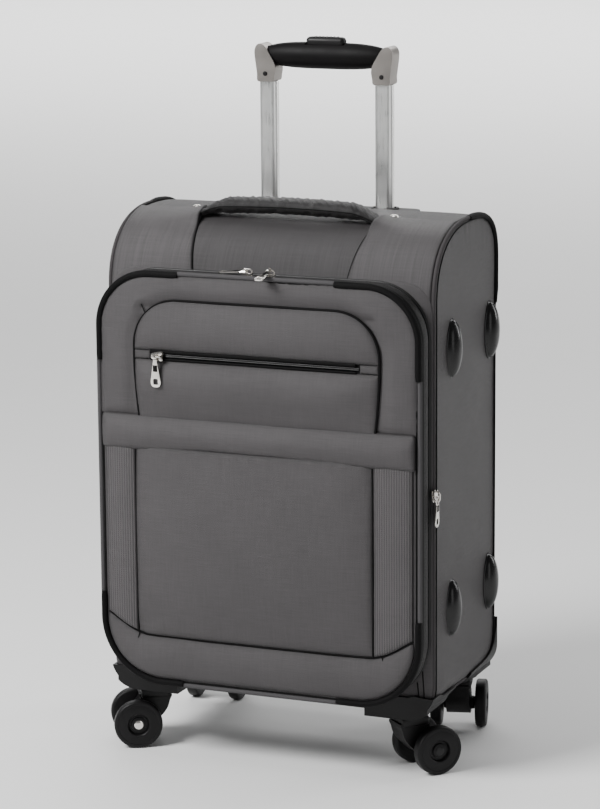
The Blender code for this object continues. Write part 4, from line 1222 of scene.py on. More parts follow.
def make_body_piping():
    """Cloth cords along both side seams, a dark seam cord and a dark cord of painted groove shade beside
    them, trims at the back corners.
    """
    outline = side_outline()
    cords = (  # name, look, how far outside the side, profile
        ("piping", "cord", -0.0012, ellipse(0.0019, 0.0022, (0.0002, 0), 12)),
        ("seam", "thread_and_seam_shade", -0.0040, ellipse(0.0008, 0.0009, (0.0004, 0), 8)),
        # painted shade: a dark cord laid in the groove beside the piping
        ("groove_shade", "thread_and_seam_shade", 0.0012, ellipse(0.0006, 0.0007, (-0.0026, 0), 8)),
    )
    for name, sign in (("left", -1), ("right", 1)):
        for kind, look, outside, profile in cords:
            x = np.full(len(outline), sign * (HALF_WIDTH + outside))
            ring = rounded_corner(np.stack([x, outline[:, 0], outline[:, 1]], 1))
            obj = sweep(f"side_{kind}_{name}", ring, (-1, 0, 0), profile, True)
            finish_piece(obj, look, "suitcase_body")
        x = np.full(len(outline), sign * (HALF_WIDTH - 0.0012))
        path = np.stack([x, outline[:, 0], outline[:, 1]], 1)
        trim = (outline[:, 0] > 0.018) & (outline[:, 1] > 0.455)
        for run in runs(trim):
            profile = ellipse(0.0032, 0.0046, (0.0000, 0.0), 16)
            ends = np.minimum(np.arange(len(run)), np.arange(len(run))[::-1])
            obj = sweep("rear_corner_trim_" + name, path[run], (-1, 0, 0), profile,
                        scale=0.72 + 0.28 * np.clip(ends / 3, 0, 1))
            finish_piece(obj, "binding", "suitcase_body")


def make_back():
    """The back cloth, which the handle's tubes press out a little."""
    half = HALF_WIDTH - 0.0030
    heights = (BODY_BOTTOM + 0.004, REAR_SHOULDER_Z)
    left, right = edge_pair(half_outline(half, heights, 0.002, 0.002, 0.006))
    panel = Panel(left, right, 0.0055)
    tube = np.exp(-(((np.abs(panel.u) - 0.0636) / 0.012) ** 2))
    height = BODY_BACK - 0.0018 + 0.0014 * rounded_edge(panel.distance, 0.006)
    height += 0.0012 * tube * swell(panel.distance, 0.02) + 0.0004 * drift(panel.u, panel.v, 60)
    pad("back_cloth", panel, height, BODY_BACK - 0.0040,
        lambda u, v, h: rounded_corner(np.stack([u, h, v], axis=2)), "cloth", "suitcase_body",
        ["back_panel"])


def make_front_wall():
    """The front wall round the opening: cloth outside, bound along the opening's edge."""
    edge = HALF_WIDTH - 0.0010
    outer = round_rect((-edge, edge), (BODY_BOTTOM, LID_TOP - 0.0005), 0.012, 0.030, 0.005)
    hole = round_rect((-0.1635, 0.1635), (0.088, 0.476), 0.057, 0.040, 0.005)
    middle = np.array([0.0, 0.28])
    angles = np.linspace(0, math.tau, 241)[:-1]
    rings = []
    for outline in (outer, hole):
        turn = np.unwrap(np.arctan2(outline[:, 1] - middle[1], outline[:, 0] - middle[0]))
        order = np.argsort(turn % math.tau)
        sorted_turn = (turn % math.tau)[order]
        pts = outline[order]
        wrap_turn = np.concatenate([sorted_turn - math.tau, sorted_turn, sorted_turn + math.tau])
        wrap_pts = np.concatenate([pts, pts, pts])
        rings.append(np.stack([np.interp(angles, wrap_turn, wrap_pts[:, k]) for k in (0, 1)], 1))
    section = []
    for share, depth in ((0.0, 0.0796), (0.0, 0.0815), (0.06, 0.0824), (0.5, 0.0826), (0.94, 0.0824),
                         (1.0, 0.0815), (1.0, 0.0796)):
        flat = rings[0] * (1 - share) + rings[1] * share
        section.append(front_path(flat, depth))
    faces, corners = grid_faces(len(section), len(angles), True, True)
    flat_points = rounded_corner(np.concatenate(section))
    uv = [section[i % len(section)][j % len(angles)][[0, 2]] for i, j in corners]
    obj = build_mesh("front_wall_cloth", flat_points, faces, uv)
    finish_piece(obj, "cloth", "suitcase_body", ["opening_frame"])
    bead = ellipse(0.0020, 0.0028, count=10)
    binding = sweep("opening_binding", front_path(hole, 0.0812), (0, -1, 0), bead, True)
    finish_piece(binding, "binding", "suitcase_body")
    for name, x, top in (("a", 0.1605, 0.1000), ("b", 0.1660, 0.1120), ("c", -0.1620, 0.1040)):
        line = np.concatenate([spaced((x, 0.0815), (x - 0.002, top), 0.002), [(x - 0.002, top)]])
        path = front_path(line, 0.0829)
        flat_cord("front_dart_" + name, path, "thread_and_seam_shade", "suitcase_body", 0.0006)


def make_lining():
    """The quilted board cover inside, in front of the handle's tubes."""
    low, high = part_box("inner_back_panel")
    left, right = edge_pair(half_outline(high.x, (low.z, high.z), 0.004, 0.004, 0.008))
    panel = Panel(left, right, 0.006)
    depth = -low.y
    quilt = np.minimum(np.abs(np.mod(panel.u + 0.03, 0.06) - 0.03), np.abs(np.mod(panel.v, 0.08) - 0.04))
    height = depth + 0.0003 + 0.0016 * swell(quilt, 0.008) * swell(panel.distance, 0.006)
    pad("inner_lining", panel, height, -high.y, to_front, "lining", "suitcase_body",
        ["inner_back_panel"])


# ---------------------------------------------------------------- carry handles


HANDLE_WIDE, HANDLE_TALL = 0.0150, 0.0080  # half of the handle's width and height
HANDLE_TUCK = 0.018  # how far its ends run on under the patches
HANDLE_RISE, HANDLE_DROP = 0.0040, 0.0085  # how far its middle bows up and its ends fall


def handle_curve(t, half_length, half_width):
    """How far out, how high and how wide a handle is, from its middle at 0 to its end at 1."""
    falling = max(0.0, (t - 0.70) / 0.30)
    rise = HANDLE_RISE * (1 - t * t) - HANDLE_DROP * falling ** 1.6
    return t * (half_length + HANDLE_TUCK), rise, half_width * (1 - 0.10 * t) - 0.0035 * falling ** 1.5


def carry_handle(name, centre, along, out, half_length, node, seed):
    """A padded grab handle in two halves, bowed up in its middle, with its ends dropping to tuck in."""
    along, out = Vector(along), Vector(out)
    side = out.cross(along)
    steps, around = 46, 30
    angles = np.arange(around) * math.tau / around
    for half_name, sign in (("a", -1), ("b", 1)):
        rings = []
        for k in range(steps + 1):
            t = k / steps
            reach, rise, wide = handle_curve(t, half_length, HANDLE_WIDE)
            tall = HANDLE_TALL * (1 - 0.72 * max(0.0, (t - 0.66) / 0.34) ** 1.3)
            ring = []
            for a in angles:
                c, s = math.cos(a), math.sin(a)
                across = math.copysign(abs(c) ** 0.86, c) * wide
                up = math.copysign(abs(s) ** 0.80, s) * tall
                ridge = 0.0010 * math.exp(-((abs(c) - 1) ** 2) / 0.004)
                fold = ripple(np.array(sign * reach + 0.15 * across), seed, (0.0123, 0.0191, 0.031))
                crease = 0.00110 * fold * (0.35 + 0.65 * max(0.0, -c)) * (1 - 0.4 * abs(s))
                crease += 0.0006 * ripple(np.array(sign * reach * 1.3 + across), seed + 1, (0.007, 0.011))
                across += math.copysign(ridge, c)
                point = Vector(centre) + along * (sign * reach) + side * across
                point += out * (rise + up + crease * (1 if s >= 0 else -1))
                ring.append(tuple(point))
            rings.append(ring)
        rings = rings if sign > 0 else rings[::-1]
        obj = tube_mesh(f"{name}_{half_name}", rings, sharp=60)
        nodes = [node] if half_name == "a" else []
        finish_piece(obj, "handle", None, nodes)
        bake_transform(obj)
        for edge_name, edge in (("front", 1), ("rear", -1)):
            path = []
            for k in range(steps + 1):
                reach, rise, wide = handle_curve(k / steps, half_length, HANDLE_WIDE + 0.0006)
                spot = Vector(centre) + along * (sign * reach) + side * (edge * wide)
                path.append(tuple(spot + out * rise))
            welt = sweep_free(f"{name}_welt_{edge_name}_{half_name}", path, 0.0007, 8, up=tuple(out))
            finish_piece(welt, "thread_and_seam_shade", None)
            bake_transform(welt)


def make_carry_handles():
    top_low, top_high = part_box("top_carry_handle")
    centre = ((top_low.x + top_high.x) / 2, (top_low.y + top_high.y) / 2, 0.5585)
    carry_handle("top_handle_cloth", centre, (1, 0, 0), (0, 0, 1), top_high.x,
                 "top_carry_handle", 70)
    side_low, side_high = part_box("side_carry_handle")
    middle = (side_low + side_high) / 2
    centre = (-HALF_WIDTH - 0.0083, middle.y, middle.z)
    half = (side_high.z - side_low.z) / 2
    carry_handle("side_handle_cloth", centre, (0, 0, 1), (-1, 0, 0), half,
                 "side_carry_handle", 80)
    for name, sign in (("upper", 1), ("lower", -1)):
        z0 = middle.z + sign * (half - 0.010)
        z1 = middle.z + sign * (half + 0.022)
        rows = np.linspace(min(z0, z1), max(z0, z1), 12)
        left = np.stack([np.full_like(rows, middle.y - 0.021), rows], 1)
        right = np.stack([np.full_like(rows, middle.y + 0.021), rows], 1)
        panel = Panel(left, right, 0.004)
        height = HALF_WIDTH + 0.0016 + 0.0018 * rounded_edge(panel.distance, 0.003)
        towards = np.clip((sign * (z0 - panel.v) + 0.012) / 0.012, 0, 1)
        height += 0.0050 * towards * np.exp(-(((panel.u - middle.y) / 0.012) ** 2))
        pad("side_handle_patch_" + name, panel, height, HALF_WIDTH - 0.0005, to_side(-1), "side",
            "suitcase_body")


# ---------------------------------------------------------------- hard pieces


def temporary(name, data):
    obj = bpy.data.objects.new(name, data)
    bpy.context.scene.collection.objects.link(obj)
    return obj


def applied(obj):
    """The mesh an object evaluates to, welded."""
    bpy.context.view_layer.update()
    mesh = bpy.data.meshes.new_from_object(obj.evaluated_get(bpy.context.evaluated_depsgraph_get()))
    face_outwards(mesh, WELD)
    bpy.data.objects.remove(obj)
    return mesh


def slab_mesh(outlines, low, high, bevel=0.0, segments=3, angle=30):
    """Outlines in XY filled between two heights, with rounded edges."""
    curve = bpy.data.curves.new("outline", "CURVE")
    curve.dimensions = "2D"
    curve.fill_mode = "BOTH"
    curve.extrude = (high - low) / 2
    for points in outlines:
        spline = curve.splines.new("POLY")
        spline.points.add(len(points) - 1)
        for target, (x, y) in zip(spline.points, points):
            target.co = (x, y, 0, 1)
        spline.use_cyclic_u = True
    mesh = applied(temporary("outline", curve))
    mesh.transform(Matrix.Translation((0, 0, (low + high) / 2)))
    if bevel:
        mesh = bevelled(mesh, bevel, segments, angle)
    return mesh


def bevelled(mesh, width, segments=3, angle=30):
    obj = temporary("bevelled", mesh)
    modifier = obj.modifiers.new("rounded", "BEVEL")
    modifier.width = width
    modifier.segments = segments
    modifier.limit_method = "ANGLE"
    modifier.angle_limit = math.radians(angle)
    modifier.harden_normals = False
    return applied(obj)


def box_mesh(low, high, bevel=0.0, segments=3):
    low, high = Vector(low), Vector(high)
    mesh = bpy.data.meshes.new("box")
    bm = bmesh.new()
    bmesh.ops.create_cube(bm, size=1.0)
    bmesh.ops.scale(bm, vec=high - low, verts=bm.verts)
    bmesh.ops.translate(bm, vec=(low + high) / 2, verts=bm.verts)
    bm.to_mesh(mesh)
    bm.free()
    return bevelled(mesh, bevel, segments) if bevel else mesh


def turned_mesh(profile, steps=64, closed=False):
    """A lathe form about Z from (radius, height) points."""
    profile = np.asarray(profile, float)
    angles = np.arange(steps) * math.tau / steps
    points = np.stack(
        [
            profile[:, None, 0] * np.cos(angles),
            profile[:, None, 0] * np.sin(angles),
            np.repeat(profile[:, 1:2], steps, 1),
        ],
        axis=2,
    )
    faces, _ = grid_faces(len(profile), steps, closed, True)
    mesh = bpy.data.meshes.new("turned")
    mesh.from_pydata(points.reshape(-1, 3).tolist(), [], faces)
    return face_outwards(mesh, WELD)


def combined(meshes):
    """Several meshes in one, as the separate bodies that they are."""
    bm = bmesh.new()
    for mesh in meshes:
        bm.from_mesh(mesh)
    result = bpy.data.meshes.new("combined")
    bm.to_mesh(result)
    bm.free()
    return result


def moved(mesh, matrix):
    copy = mesh.copy()
    copy.transform(matrix)
    return copy


def subtract(mesh, cutter):
    """A mesh with another one's volume taken out."""
    base, tool = temporary("base", mesh), temporary("tool", cutter)
    boolean = base.modifiers.new("cut", "BOOLEAN")
    boolean.operation = "DIFFERENCE"
    boolean.solver = "EXACT"
    boolean.object = tool
    result = applied(base)
    bpy.data.objects.remove(tool)
    return result


# Turns what was drawn in XY to stand in XZ, facing -Y.
STAND = Matrix(((1, 0, 0, 0), (0, 0, -1, 0), (0, 1, 0, 0), (0, 0, 0, 1)))
LIE_BACK = Matrix.Rotation(math.pi / 2, 4, "X")


def hard(name, mesh, look, body, replaces=(), sharp=35):
    mesh.name = name
    obj = link_mesh(name, mesh, sharp)
    return finish_piece(obj, look, body, replaces)


def frame_matrix(origin, x_axis, z_axis):
    x_axis, z_axis = Vector(x_axis).normalized(), Vector(z_axis).normalized()
    axes = Matrix((x_axis, z_axis.cross(x_axis), z_axis)).transposed().to_4x4()
    return Matrix.Translation(origin) @ axes


# ---------------------------------------------------------------- zip sliders and pulls

BRIDGE_HEIGHT, LOOP_HEIGHT, PULL_REACH = 0.0070, 0.00485, 0.031


def slider_mesh():
    """A zip slider along X: two plates, raised side rims, a nose and its bridge."""
    half = [(-0.0052, 0.0026), (-0.0015, 0.0036), (0.0035, 0.0046), (0.0058, 0.0040)]
    shield = smooth_loop(
        [(-0.0060, 0.0), *half, (0.0052, 0.0), *((x, -y) for x, y in half[::-1])], 0.0006
    )
    upper = slab_mesh([shield], 0.0022, 0.0036, 0.0005, 2)
    lower = slab_mesh([shield], 0.0, 0.0010, 0.0003, 2)
    leaf = smooth_loop([(-0.0015, 0), (0.0015, 0.0012), (0.0045, 0), (0.0015, -0.0012)], 0.0005)
    post = slab_mesh([leaf], 0.0008, 0.0024)
    top = BRIDGE_HEIGHT
    path = smooth_line([(-0.0046, 0, 0.0030), (-0.0047, 0, top - 0.0016), (-0.0032, 0, top - 0.0001),
                        (0, 0, top + 0.0001), (0.0032, 0, top - 0.0001), (0.0047, 0, top - 0.0016),
                        (0.0046, 0, 0.0030)], 0.0006)
    bridge = sweep_free("bridge", path, 0.0009, 10, up=(0, 1, 0))
    mesh = combined([upper, lower, post, bridge.data])
    bpy.data.objects.remove(bridge)
    return mesh


def smooth_loop(points, step):
    """A closed Catmull-Rom outline through points."""
    points = np.asarray(points, float)
    count = len(points)
    result = []
    for k in range(count):
        result += curve_pieces(*(points[(k + offset) % count] for offset in (-1, 0, 1, 2)), step)
    return np.array(result)


def pull_mesh(kind):
    """A teardrop tab with a rounded hole, hanging along -Y from its ring or long loop."""
    end = -PULL_REACH
    if kind == "ring":
        start = -0.0019
        angles = np.arange(24) * math.tau / 24
        wire_path = np.stack([np.zeros(24), 0.0024 * np.cos(angles) - 0.0002, 0.0024 * np.sin(angles)], 1)
        wire = sweep_free("wire", wire_path, 0.0006, 8, up=(1, 0, 0), closed=True)
        neck = 0.0015
    else:
        start = -0.0078
        loop = round_rect((-0.0027, 0.0027), (-0.0084, 0.0), 0.0012, 0.0012, 0.0006)
        wire_path = np.stack([loop[:, 0], loop[:, 1], np.zeros(len(loop))], 1)
        wire = sweep_free("wire", wire_path, 0.0007, 8, closed=True)
        neck = 0.0026
    half = 0.0054
    right = [(neck, start - 0.0004), (neck + 0.0008, start - 0.004), (half - 0.0009, end + 0.0110),
             (half, end + 0.0058), (half - 0.0008, end + 0.0020), (half - 0.0028, end + 0.0003), (0, end)]
    outline = smooth_loop(right + [(-x, y) for x, y in right[-2::-1]] + [(0, start + 0.0003)], 0.0007)
    hole = round_rect((-0.0026, 0.0026), (end + 0.0028, end + 0.0087), 0.0013, 0.0013, 0.0005)
    plate = slab_mesh([outline, hole], -0.0008, 0.0008, 0.0004, 2)
    mesh = combined([plate, wire.data])
    bpy.data.objects.remove(wire)
    return mesh


def pull_matrix(pivot, points_along, outward, tilt_degrees):
    """The tab points along one direction, tilted from it towards the surface."""
    tilt = math.radians(tilt_degrees)
    along, out = Vector(points_along), Vector(outward)
    direction = along * math.cos(tilt) - out * math.sin(tilt)
    normal = out * math.cos(tilt) + along * math.sin(tilt)
    return frame_matrix(pivot, (-direction).cross(normal), normal)


def make_fittings():
    slider = slider_mesh()
    pulls = {"ring": pull_mesh("ring"), "loop": pull_mesh("loop")}
    lid_top = LID_TOP + 0.0005
    side = (HALF_WIDTH + 0.0005, -EXPANSION_ZIP_Y, 0.292)
    fittings = (  # name, origin, slide axis, outward, tab direction, kind, tilt
        ("pocket", (-0.104, -0.1183, 0.420), (1, 0, 0), (0, -1, 0), (0, 0, -1), "ring", 3),
        ("main_left", (-0.012, -MAIN_ZIP_Y, lid_top), (1, 0, 0), (0, 0, 1), (-1, 0, 0), "loop", 4),
        ("main_right", (0.012, -MAIN_ZIP_Y, lid_top), (-1, 0, 0), (0, 0, 1), (0, -1, 0), "ring", 9),
        ("expansion", side, (0, 0, 1), (1, 0, 0), (0, 0, -1), "loop", 2),
    )
    for name, origin, slide, outward, direction, kind, tilt in fittings:
        mesh = moved(slider, frame_matrix(origin, slide, outward))
        hard(name + "_slider_metal", mesh, "nickel", name + "_slider_body", [name + "_slider"])
        pivot = Vector(origin) + Vector(outward) * (BRIDGE_HEIGHT if kind == "ring" else LOOP_HEIGHT)
        matrix = pull_matrix(pivot, direction, outward, tilt)
        hard(name + "_pull_metal", moved(pulls[kind], matrix), "nickel", name + "_pull_body",
             [name + "_pull"])
        line = [(0, y, 0) for y in np.linspace(-0.0085, -0.0150, 8)]
        sleeve = sweep_free("sleeve", line, 0.0031, 14, 0.45)
        mesh = sleeve.data.copy()
        bpy.data.objects.remove(sleeve)
        hard(name + "_pull_sleeve", moved(mesh, matrix), "soft_grip", name + "_pull_body")


# ---------------------------------------------------------------- pull handle

TUBE_X, TUBE_Y = 0.0636, 0.0764
GRIP_Z, GRIP_HALF, GRIP_RADIUS, GRIP_DEPTH = 0.7043, 0.0735, 0.0137, 0.87
TUBES = (  # stage, outside size, bore size, body
    ("outer", (0.0266, 0.0200), (0.0238, 0.0173), "suitcase_body"),
    ("middle", (0.0230, 0.0165), (0.0203, 0.0138), "handle_lower"),
    ("inner", (0.0195, 0.0130), (0.0175, 0.0110), "handle_upper"),
)


def oval(size, inset=0.0):
    half_x, half_y = size[0] / 2 - inset, size[1] / 2 - inset
    return round_rect((-half_x, half_x), (-half_y, half_y), half_y - 0.0009, half_y - 0.0009, 0.0006)


def resampled(outline, count):
    along = lengths(outline, True)
    closed = np.concatenate([outline, outline[:1]])
    wanted = np.arange(count) * along[-1] / count
    return np.stack([np.interp(wanted, along, closed[:, k]) for k in (0, 1)], 1)


def make_tubes():
    for stage, outside, bore, body in TUBES:
        for end in ("left", "right"):
            node = f"{stage}_tube_{end}"
            low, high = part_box(node)
            centre = np.array([(low.x + high.x) / 2, TUBE_Y])
            rings = []
            lip = 0.0003
            for size, z, inset in (
                (outside, low.z, lip), (outside, low.z + lip, 0), (outside, high.z - lip, 0),
                (outside, high.z, lip), (bore, high.z, 0), (bore, low.z, 0),
            ):
                flat = resampled(oval(size, inset), 64) + centre
                rings.append(np.concatenate([flat, np.full((64, 1), z)], 1))
            obj = tube_mesh(node + "_metal", rings, closed=True, sharp=40)
            finish_piece(obj, "aluminium", body, [node])


def grip_mesh(extra=0.0, steps=56):
    """The grip: thick in the middle, round at its ends and a little flattened."""
    half = GRIP_HALF + extra
    profile = [(0.0, half)]
    for k in range(1, steps):
        t = math.cos(math.pi * k / steps)
        profile.append(((GRIP_RADIUS + extra) * (1 - abs(t) ** 3.4) ** 0.5, half * t))
    profile.append((0.0, -half))
    mesh = turned_mesh(profile, 48)
    lie = Matrix.Rotation(math.radians(90), 4, "Y")
    mesh.transform(Matrix.Translation((0, TUBE_Y, GRIP_Z)) @ Matrix.Diagonal((1, GRIP_DEPTH, 1, 1)) @ lie)
    return mesh


def make_grip():
    low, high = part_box("release_button")
    clear = 0.0005
    room = box_mesh((low.x - clear, low.y - clear, low.z - 0.004), (high.x + clear, high.y + clear, 0.75))
    hard("grip_rubber", subtract(grip_mesh(), room), "soft_grip", "handle_upper", ["grip"])
    button = box_mesh(low, high, 0.0042, 6)
    rib_half, rib_high, margin = 0.0006, 0.0004, 0.002
    ribs = [
        box_mesh((x - rib_half, low.y + margin, high.z - rib_high),
                 (x + rib_half, high.y - margin, high.z + rib_high), 0.0003, 2)
        for x in np.linspace(-0.012, 0.012, 7)
    ]
    hard("release_button_cap", combined([button, *ribs]), "moulding", "handle_button",
         ["release_button"])


def bracket_outline():
    """One bracket seen from the front: a collar on the tube that opens into a cup."""
    collar = [(0.0552, 0.6772), (0.0636, 0.6769), (0.0724, 0.6772)]
    outer_side = [(0.0732, 0.6850), (0.0744, 0.6940), (0.0756, 0.7030), (0.0756, 0.7095)]
    cup = [(0.0732, 0.7142), (0.0692, 0.7156), (0.0640, 0.7126), (0.0585, 0.7040)]
    inner_side = [(0.0538, 0.6955), (0.0528, 0.6895), (0.0538, 0.6830)]
    return smooth_loop(collar + outer_side + cup + inner_side, 0.0012)


def make_brackets():
    depth = 0.0104
    screw = turned_mesh([(0.0, 0.0006), (0.0006, 0.0006), (0.0008, 0.0012), (0.0019, 0.0011),
                         (0.0024, 0.0004), (0.0024, -0.0006), (0.0, -0.0006)], 24)
    for end, sign in (("left", -1), ("right", 1)):
        outline = bracket_outline() * (sign, 1)
        mesh = slab_mesh([outline[::sign]], -depth, depth, 0.0066, 6, 40)
        mesh.transform(Matrix.Translation((0, TUBE_Y, 0)) @ STAND)
        mesh = subtract(mesh, grip_mesh(0.0005))
        hard("grip_bracket_metal_" + end, mesh, "satin", "handle_upper",
             ["grip_bracket_" + end], 30)
        face = Matrix.Translation((sign * 0.0640, TUBE_Y - depth, 0.6850)) @ LIE_BACK
        hard("bracket_screw_" + end, moved(screw, face), "chain", "handle_upper")


def make_bezel():
    low, high = BEZEL_LOW, BEZEL_HIGH
    outline = round_rect((low.x, high.x), (low.y, high.y), 0.0118, 0.0118, 0.0012)
    bore = oval((0.0238, 0.0173))
    holes = [bore + np.array([x, TUBE_Y]) for x in (-TUBE_X, TUBE_X)]
    mesh = slab_mesh([outline, *holes], low.z, high.z, 0.0030, 4, 40)
    collars = []
    for x in (-TUBE_X, TUBE_X):
        ring = [oval((0.0290, 0.0222)) + np.array([x, TUBE_Y]), bore + np.array([x, TUBE_Y])]
        collars.append(slab_mesh(ring, high.z - 0.001, high.z + 0.0016, 0.0007, 2, 40))
    hard("handle_bezel_plastic", combined([mesh, *collars]), "moulding", "suitcase_body",
         ["handle_bezel"])
    base_low, base_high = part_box("handle_base")
    block = box_mesh(base_low, base_high, 0.003, 3)
    hard("handle_base_block", block, "moulding", "suitcase_body", ["handle_base"])


# ---------------------------------------------------------------- casters, guards, feet

STEM_X, TRAIL, WHEEL_RADIUS, WHEEL_OFFSET, WHEEL_HALF = 0.1415, 0.0195, 0.025, 0.0235, 0.006
CASTERS = {  # stem y, side, direction in which the caster trails in degrees from +X
    "front_left": (-0.060, -1, 210),
    "front_right": (-0.060, 1, 49),
    "rear_left": (0.084, -1, 95),
    "rear_right": (0.084, 1, 105),
}


def pin_mesh(half, radius, chamfer, steps):
    """A round pin along Z with chamfered ends."""
    top = [(0.0, half), (radius - chamfer, half), (radius, half - chamfer)]
    return turned_mesh(top + [(r, -z) for r, z in top[::-1]], steps)


def fork_mesh():
    """Stem along Z, trailing along +X, axle along Y: a rounded arm under a square head."""
    outline = smooth_loop(
        [(-0.0145, 0.0538), (-0.0144, 0.0450), (-0.0105, 0.0350), (-0.0020, 0.0255), (0.0065, 0.0180),
         (0.0130, 0.0152), (TRAIL + 0.003, 0.0150), (TRAIL + 0.0088, 0.0190), (TRAIL + 0.0100, 0.0262),
         (TRAIL + 0.0072, 0.0345), (0.0185, 0.0430), (0.0160, 0.0490), (0.0153, 0.0538)], 0.0015
    )
    arm = slab_mesh([outline], -0.0125, 0.0125, 0.0030, 4, 40)
    arm.transform(STAND)
    head = box_mesh((-0.0150, -0.0148, 0.0490), (0.0155, 0.0148, 0.0592), 0.0026, 4)
    race = turned_mesh(
        [(0.0, 0.0603), (0.0120, 0.0603), (0.0128, 0.0596), (0.0128, 0.0580), (0.0, 0.0580)], 48
    )
    across = Matrix.Translation((TRAIL, 0, WHEEL_RADIUS)) @ LIE_BACK
    axle = pin_mesh(WHEEL_OFFSET + WHEEL_HALF - 0.0022, 0.0025, 0.0003, 24)
    boss = pin_mesh(0.0160, 0.0070, 0.0008, 40)
    return combined([arm, head, race, moved(axle, across), moved(boss, across)])


def wheel_mesh():
    """Rounded tread, a flat face with a recessed hub ring and a raised hub."""
    half, rim = WHEEL_HALF, WHEEL_RADIUS
    face = [  # radius, and how far below the face
        (0.0030, 0.0010), (0.0068, 0.0010), (0.0074, 0.0014), (0.0078, 0.0030), (0.0098, 0.0032),
        (0.0106, 0.0022), (0.0110, 0.0006), (0.0117, 0.0), (0.0200, 0.0001), (0.0206, 0.0004),
        (0.0211, 0.0001), (0.0222, 0.0002),
    ]
    profile = [(radius, half - below) for radius, below in face]
    shoulder, round_off = 0.0028, 0.0026
    bulge = [
        (rim - shoulder + shoulder * math.cos(a),
         (half - shoulder) * (1 if a > 0 else -1) + round_off * math.sin(a))
        for a in np.radians([75, 60, 45, 30, 15, 2, -2, -15, -30, -45, -60, -75])
    ]
    back = [(0.0222, -half + 0.0002), (0.0120, -half), (0.0112, -half + 0.0020), (0.0030, -half + 0.0020)]
    return turned_mesh(profile + bulge + back, 72, closed=True)


def make_casters():
    fork, wheel = fork_mesh(), wheel_mesh()
    cap = turned_mesh(
        [(0.0, 0.0010), (0.0036, 0.0009), (0.0046, 0.0004), (0.0048, -0.0004), (0.0, -0.0004)], 40
    )
    for position, (stem_y, side, trail) in CASTERS.items():
        stem = Vector((STEM_X * side, stem_y, 0))
        turned_to = Matrix.Translation(stem) @ Matrix.Rotation(math.radians(trail), 4, "Z")
        hard("fork_plastic_" + position, moved(fork, turned_to), "moulding", "caster_" + position,
             ["caster_fork_" + position])
        for name, offset in (("a", WHEEL_OFFSET), ("b", -WHEEL_OFFSET)):
            facing = Matrix.Rotation(math.radians(-90 if offset > 0 else 90), 4, "X")
            hub = turned_to @ Matrix.Translation((TRAIL, offset, WHEEL_RADIUS)) @ facing
            body = f"wheel_{position}_{name}_body"
            hard(f"tyre_{position}_{name}", moved(wheel, hub), "tread", body,
                 [f"wheel_{position}_{name}"])
            look = "nickel" if name == "a" else "chain"
            seat = hub @ Matrix.Translation((0, 0, WHEEL_HALF - 0.0012))
            hard(f"hub_cap_{position}_{name}", moved(cap, seat), look, body)


def guard_mesh(outline, side, room_y, stem_y):
    """A moulded shoe: a wavy-topped wall round the corner and a floor above the caster."""
    x_in, x_out = 0.103, HALF_WIDTH + 0.0030
    mesh = slab_mesh([outline], x_in, x_out, 0.0026, 4, 40)
    mesh.transform(Matrix(((0, 0, side, 0), (1, 0, 0, 0), (0, 1, 0, 0), (0, 0, 0, 1))))
    inner = HALF_WIDTH + 0.0004
    low = (min(0.08 * side, inner * side), room_y[0], BODY_BOTTOM - 0.0004)
    high = (max(0.08 * side, inner * side), room_y[1], 0.2)
    mesh = rounded_mesh(subtract(mesh, box_mesh(low, high)))
    plate = turned_mesh(
        [(0.0, 0.0030), (0.0190, 0.0030), (0.0200, -0.0004), (0.0200, -0.0016), (0.0, -0.0016)], 48
    )
    seat = Matrix.Translation((STEM_X * side, stem_y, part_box("corner_guard_front_left")[0].z + 0.0012))
    return combined([mesh, moved(plate, seat)])


def make_guards():
    front_low, rear_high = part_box("corner_guard_front_left")[0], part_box("corner_guard_rear_left")[1]
    front_end, rear_end, bottom = front_low.y, rear_high.y, front_low.z
    # Lower and upper edges in (y, z), which run on from each other anticlockwise.
    front_lower = [(front_end, bottom), (-0.050, bottom), (-0.036, bottom + 0.0002),
                   (-0.020, bottom + 0.0030), (-0.008, BODY_BOTTOM + 0.0004)]
    front_upper = [(-0.0085, 0.0712), (-0.0130, 0.0740), (-0.0230, 0.0756), (-0.0400, 0.0762),
                   (-0.0520, 0.0785), (-0.0620, 0.0828), (-0.0720, 0.0842), (front_end, 0.0840)]
    rear_lower = [(0.033, BODY_BOTTOM), (0.043, bottom + 0.0020), (0.054, bottom), (0.080, bottom),
                  (rear_end, bottom)]
    rear_upper = [(rear_end, 0.122), (0.1008, 0.112), (0.0940, 0.098), (0.0820, 0.088),
                  (0.0650, 0.0822), (0.0480, 0.0800), (0.034, 0.0775)]
    front, rear = (
        np.concatenate([smooth_line(lower, 0.003), smooth_line(upper, 0.003)])
        for lower, upper in ((front_lower, front_upper), (rear_lower, rear_upper))
    )
    for end, side in (("left", -1), ("right", 1)):
        for place, outline, room in (
            ("front", front, (BODY_FRONT - 0.0042, 0.2)), ("rear", rear, (-0.2, BODY_BACK + 0.0006))
        ):
            name = f"{place}_{end}"
            mesh = guard_mesh(outline, side, room, CASTERS[name][0])
            hard("corner_shoe_" + name, mesh, "moulding", "suitcase_body",
                 ["corner_guard_" + name])


def make_side_feet():
    """Glossy oval domes with a thin flange, on the side the suitcase is laid down on."""
    for height in ("upper", "lower"):
        for end in ("front", "rear"):
            node = f"side_foot_{height}_{end}"
            low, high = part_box(node)
            middle = (low + high) / 2
            half_y, half_z, rise = (high.y - low.y) / 2, (high.z - low.z) / 2, high.x - low.x
            profile = [(1.0, 0.0), (1.0, 0.0008 / rise), (0.97, 0.0012 / rise)]
            turns = np.radians(np.arange(4, 90, 4))
            profile += [(0.95 * math.cos(a), 0.10 + 0.90 * math.sin(a)) for a in turns]
            mesh = turned_mesh([(0.0, -0.25), (1.0, -0.25), *profile, (0.0, 1.0)], 72)
            mesh.transform(Matrix((
                (0, 0, rise, low.x), (half_y, 0, 0, middle.y), (0, half_z, 0, middle.z), (0, 0, 0, 1)
            )))
            hard(node + "_dome", face_outwards(mesh), "gloss", "suitcase_body", [node])


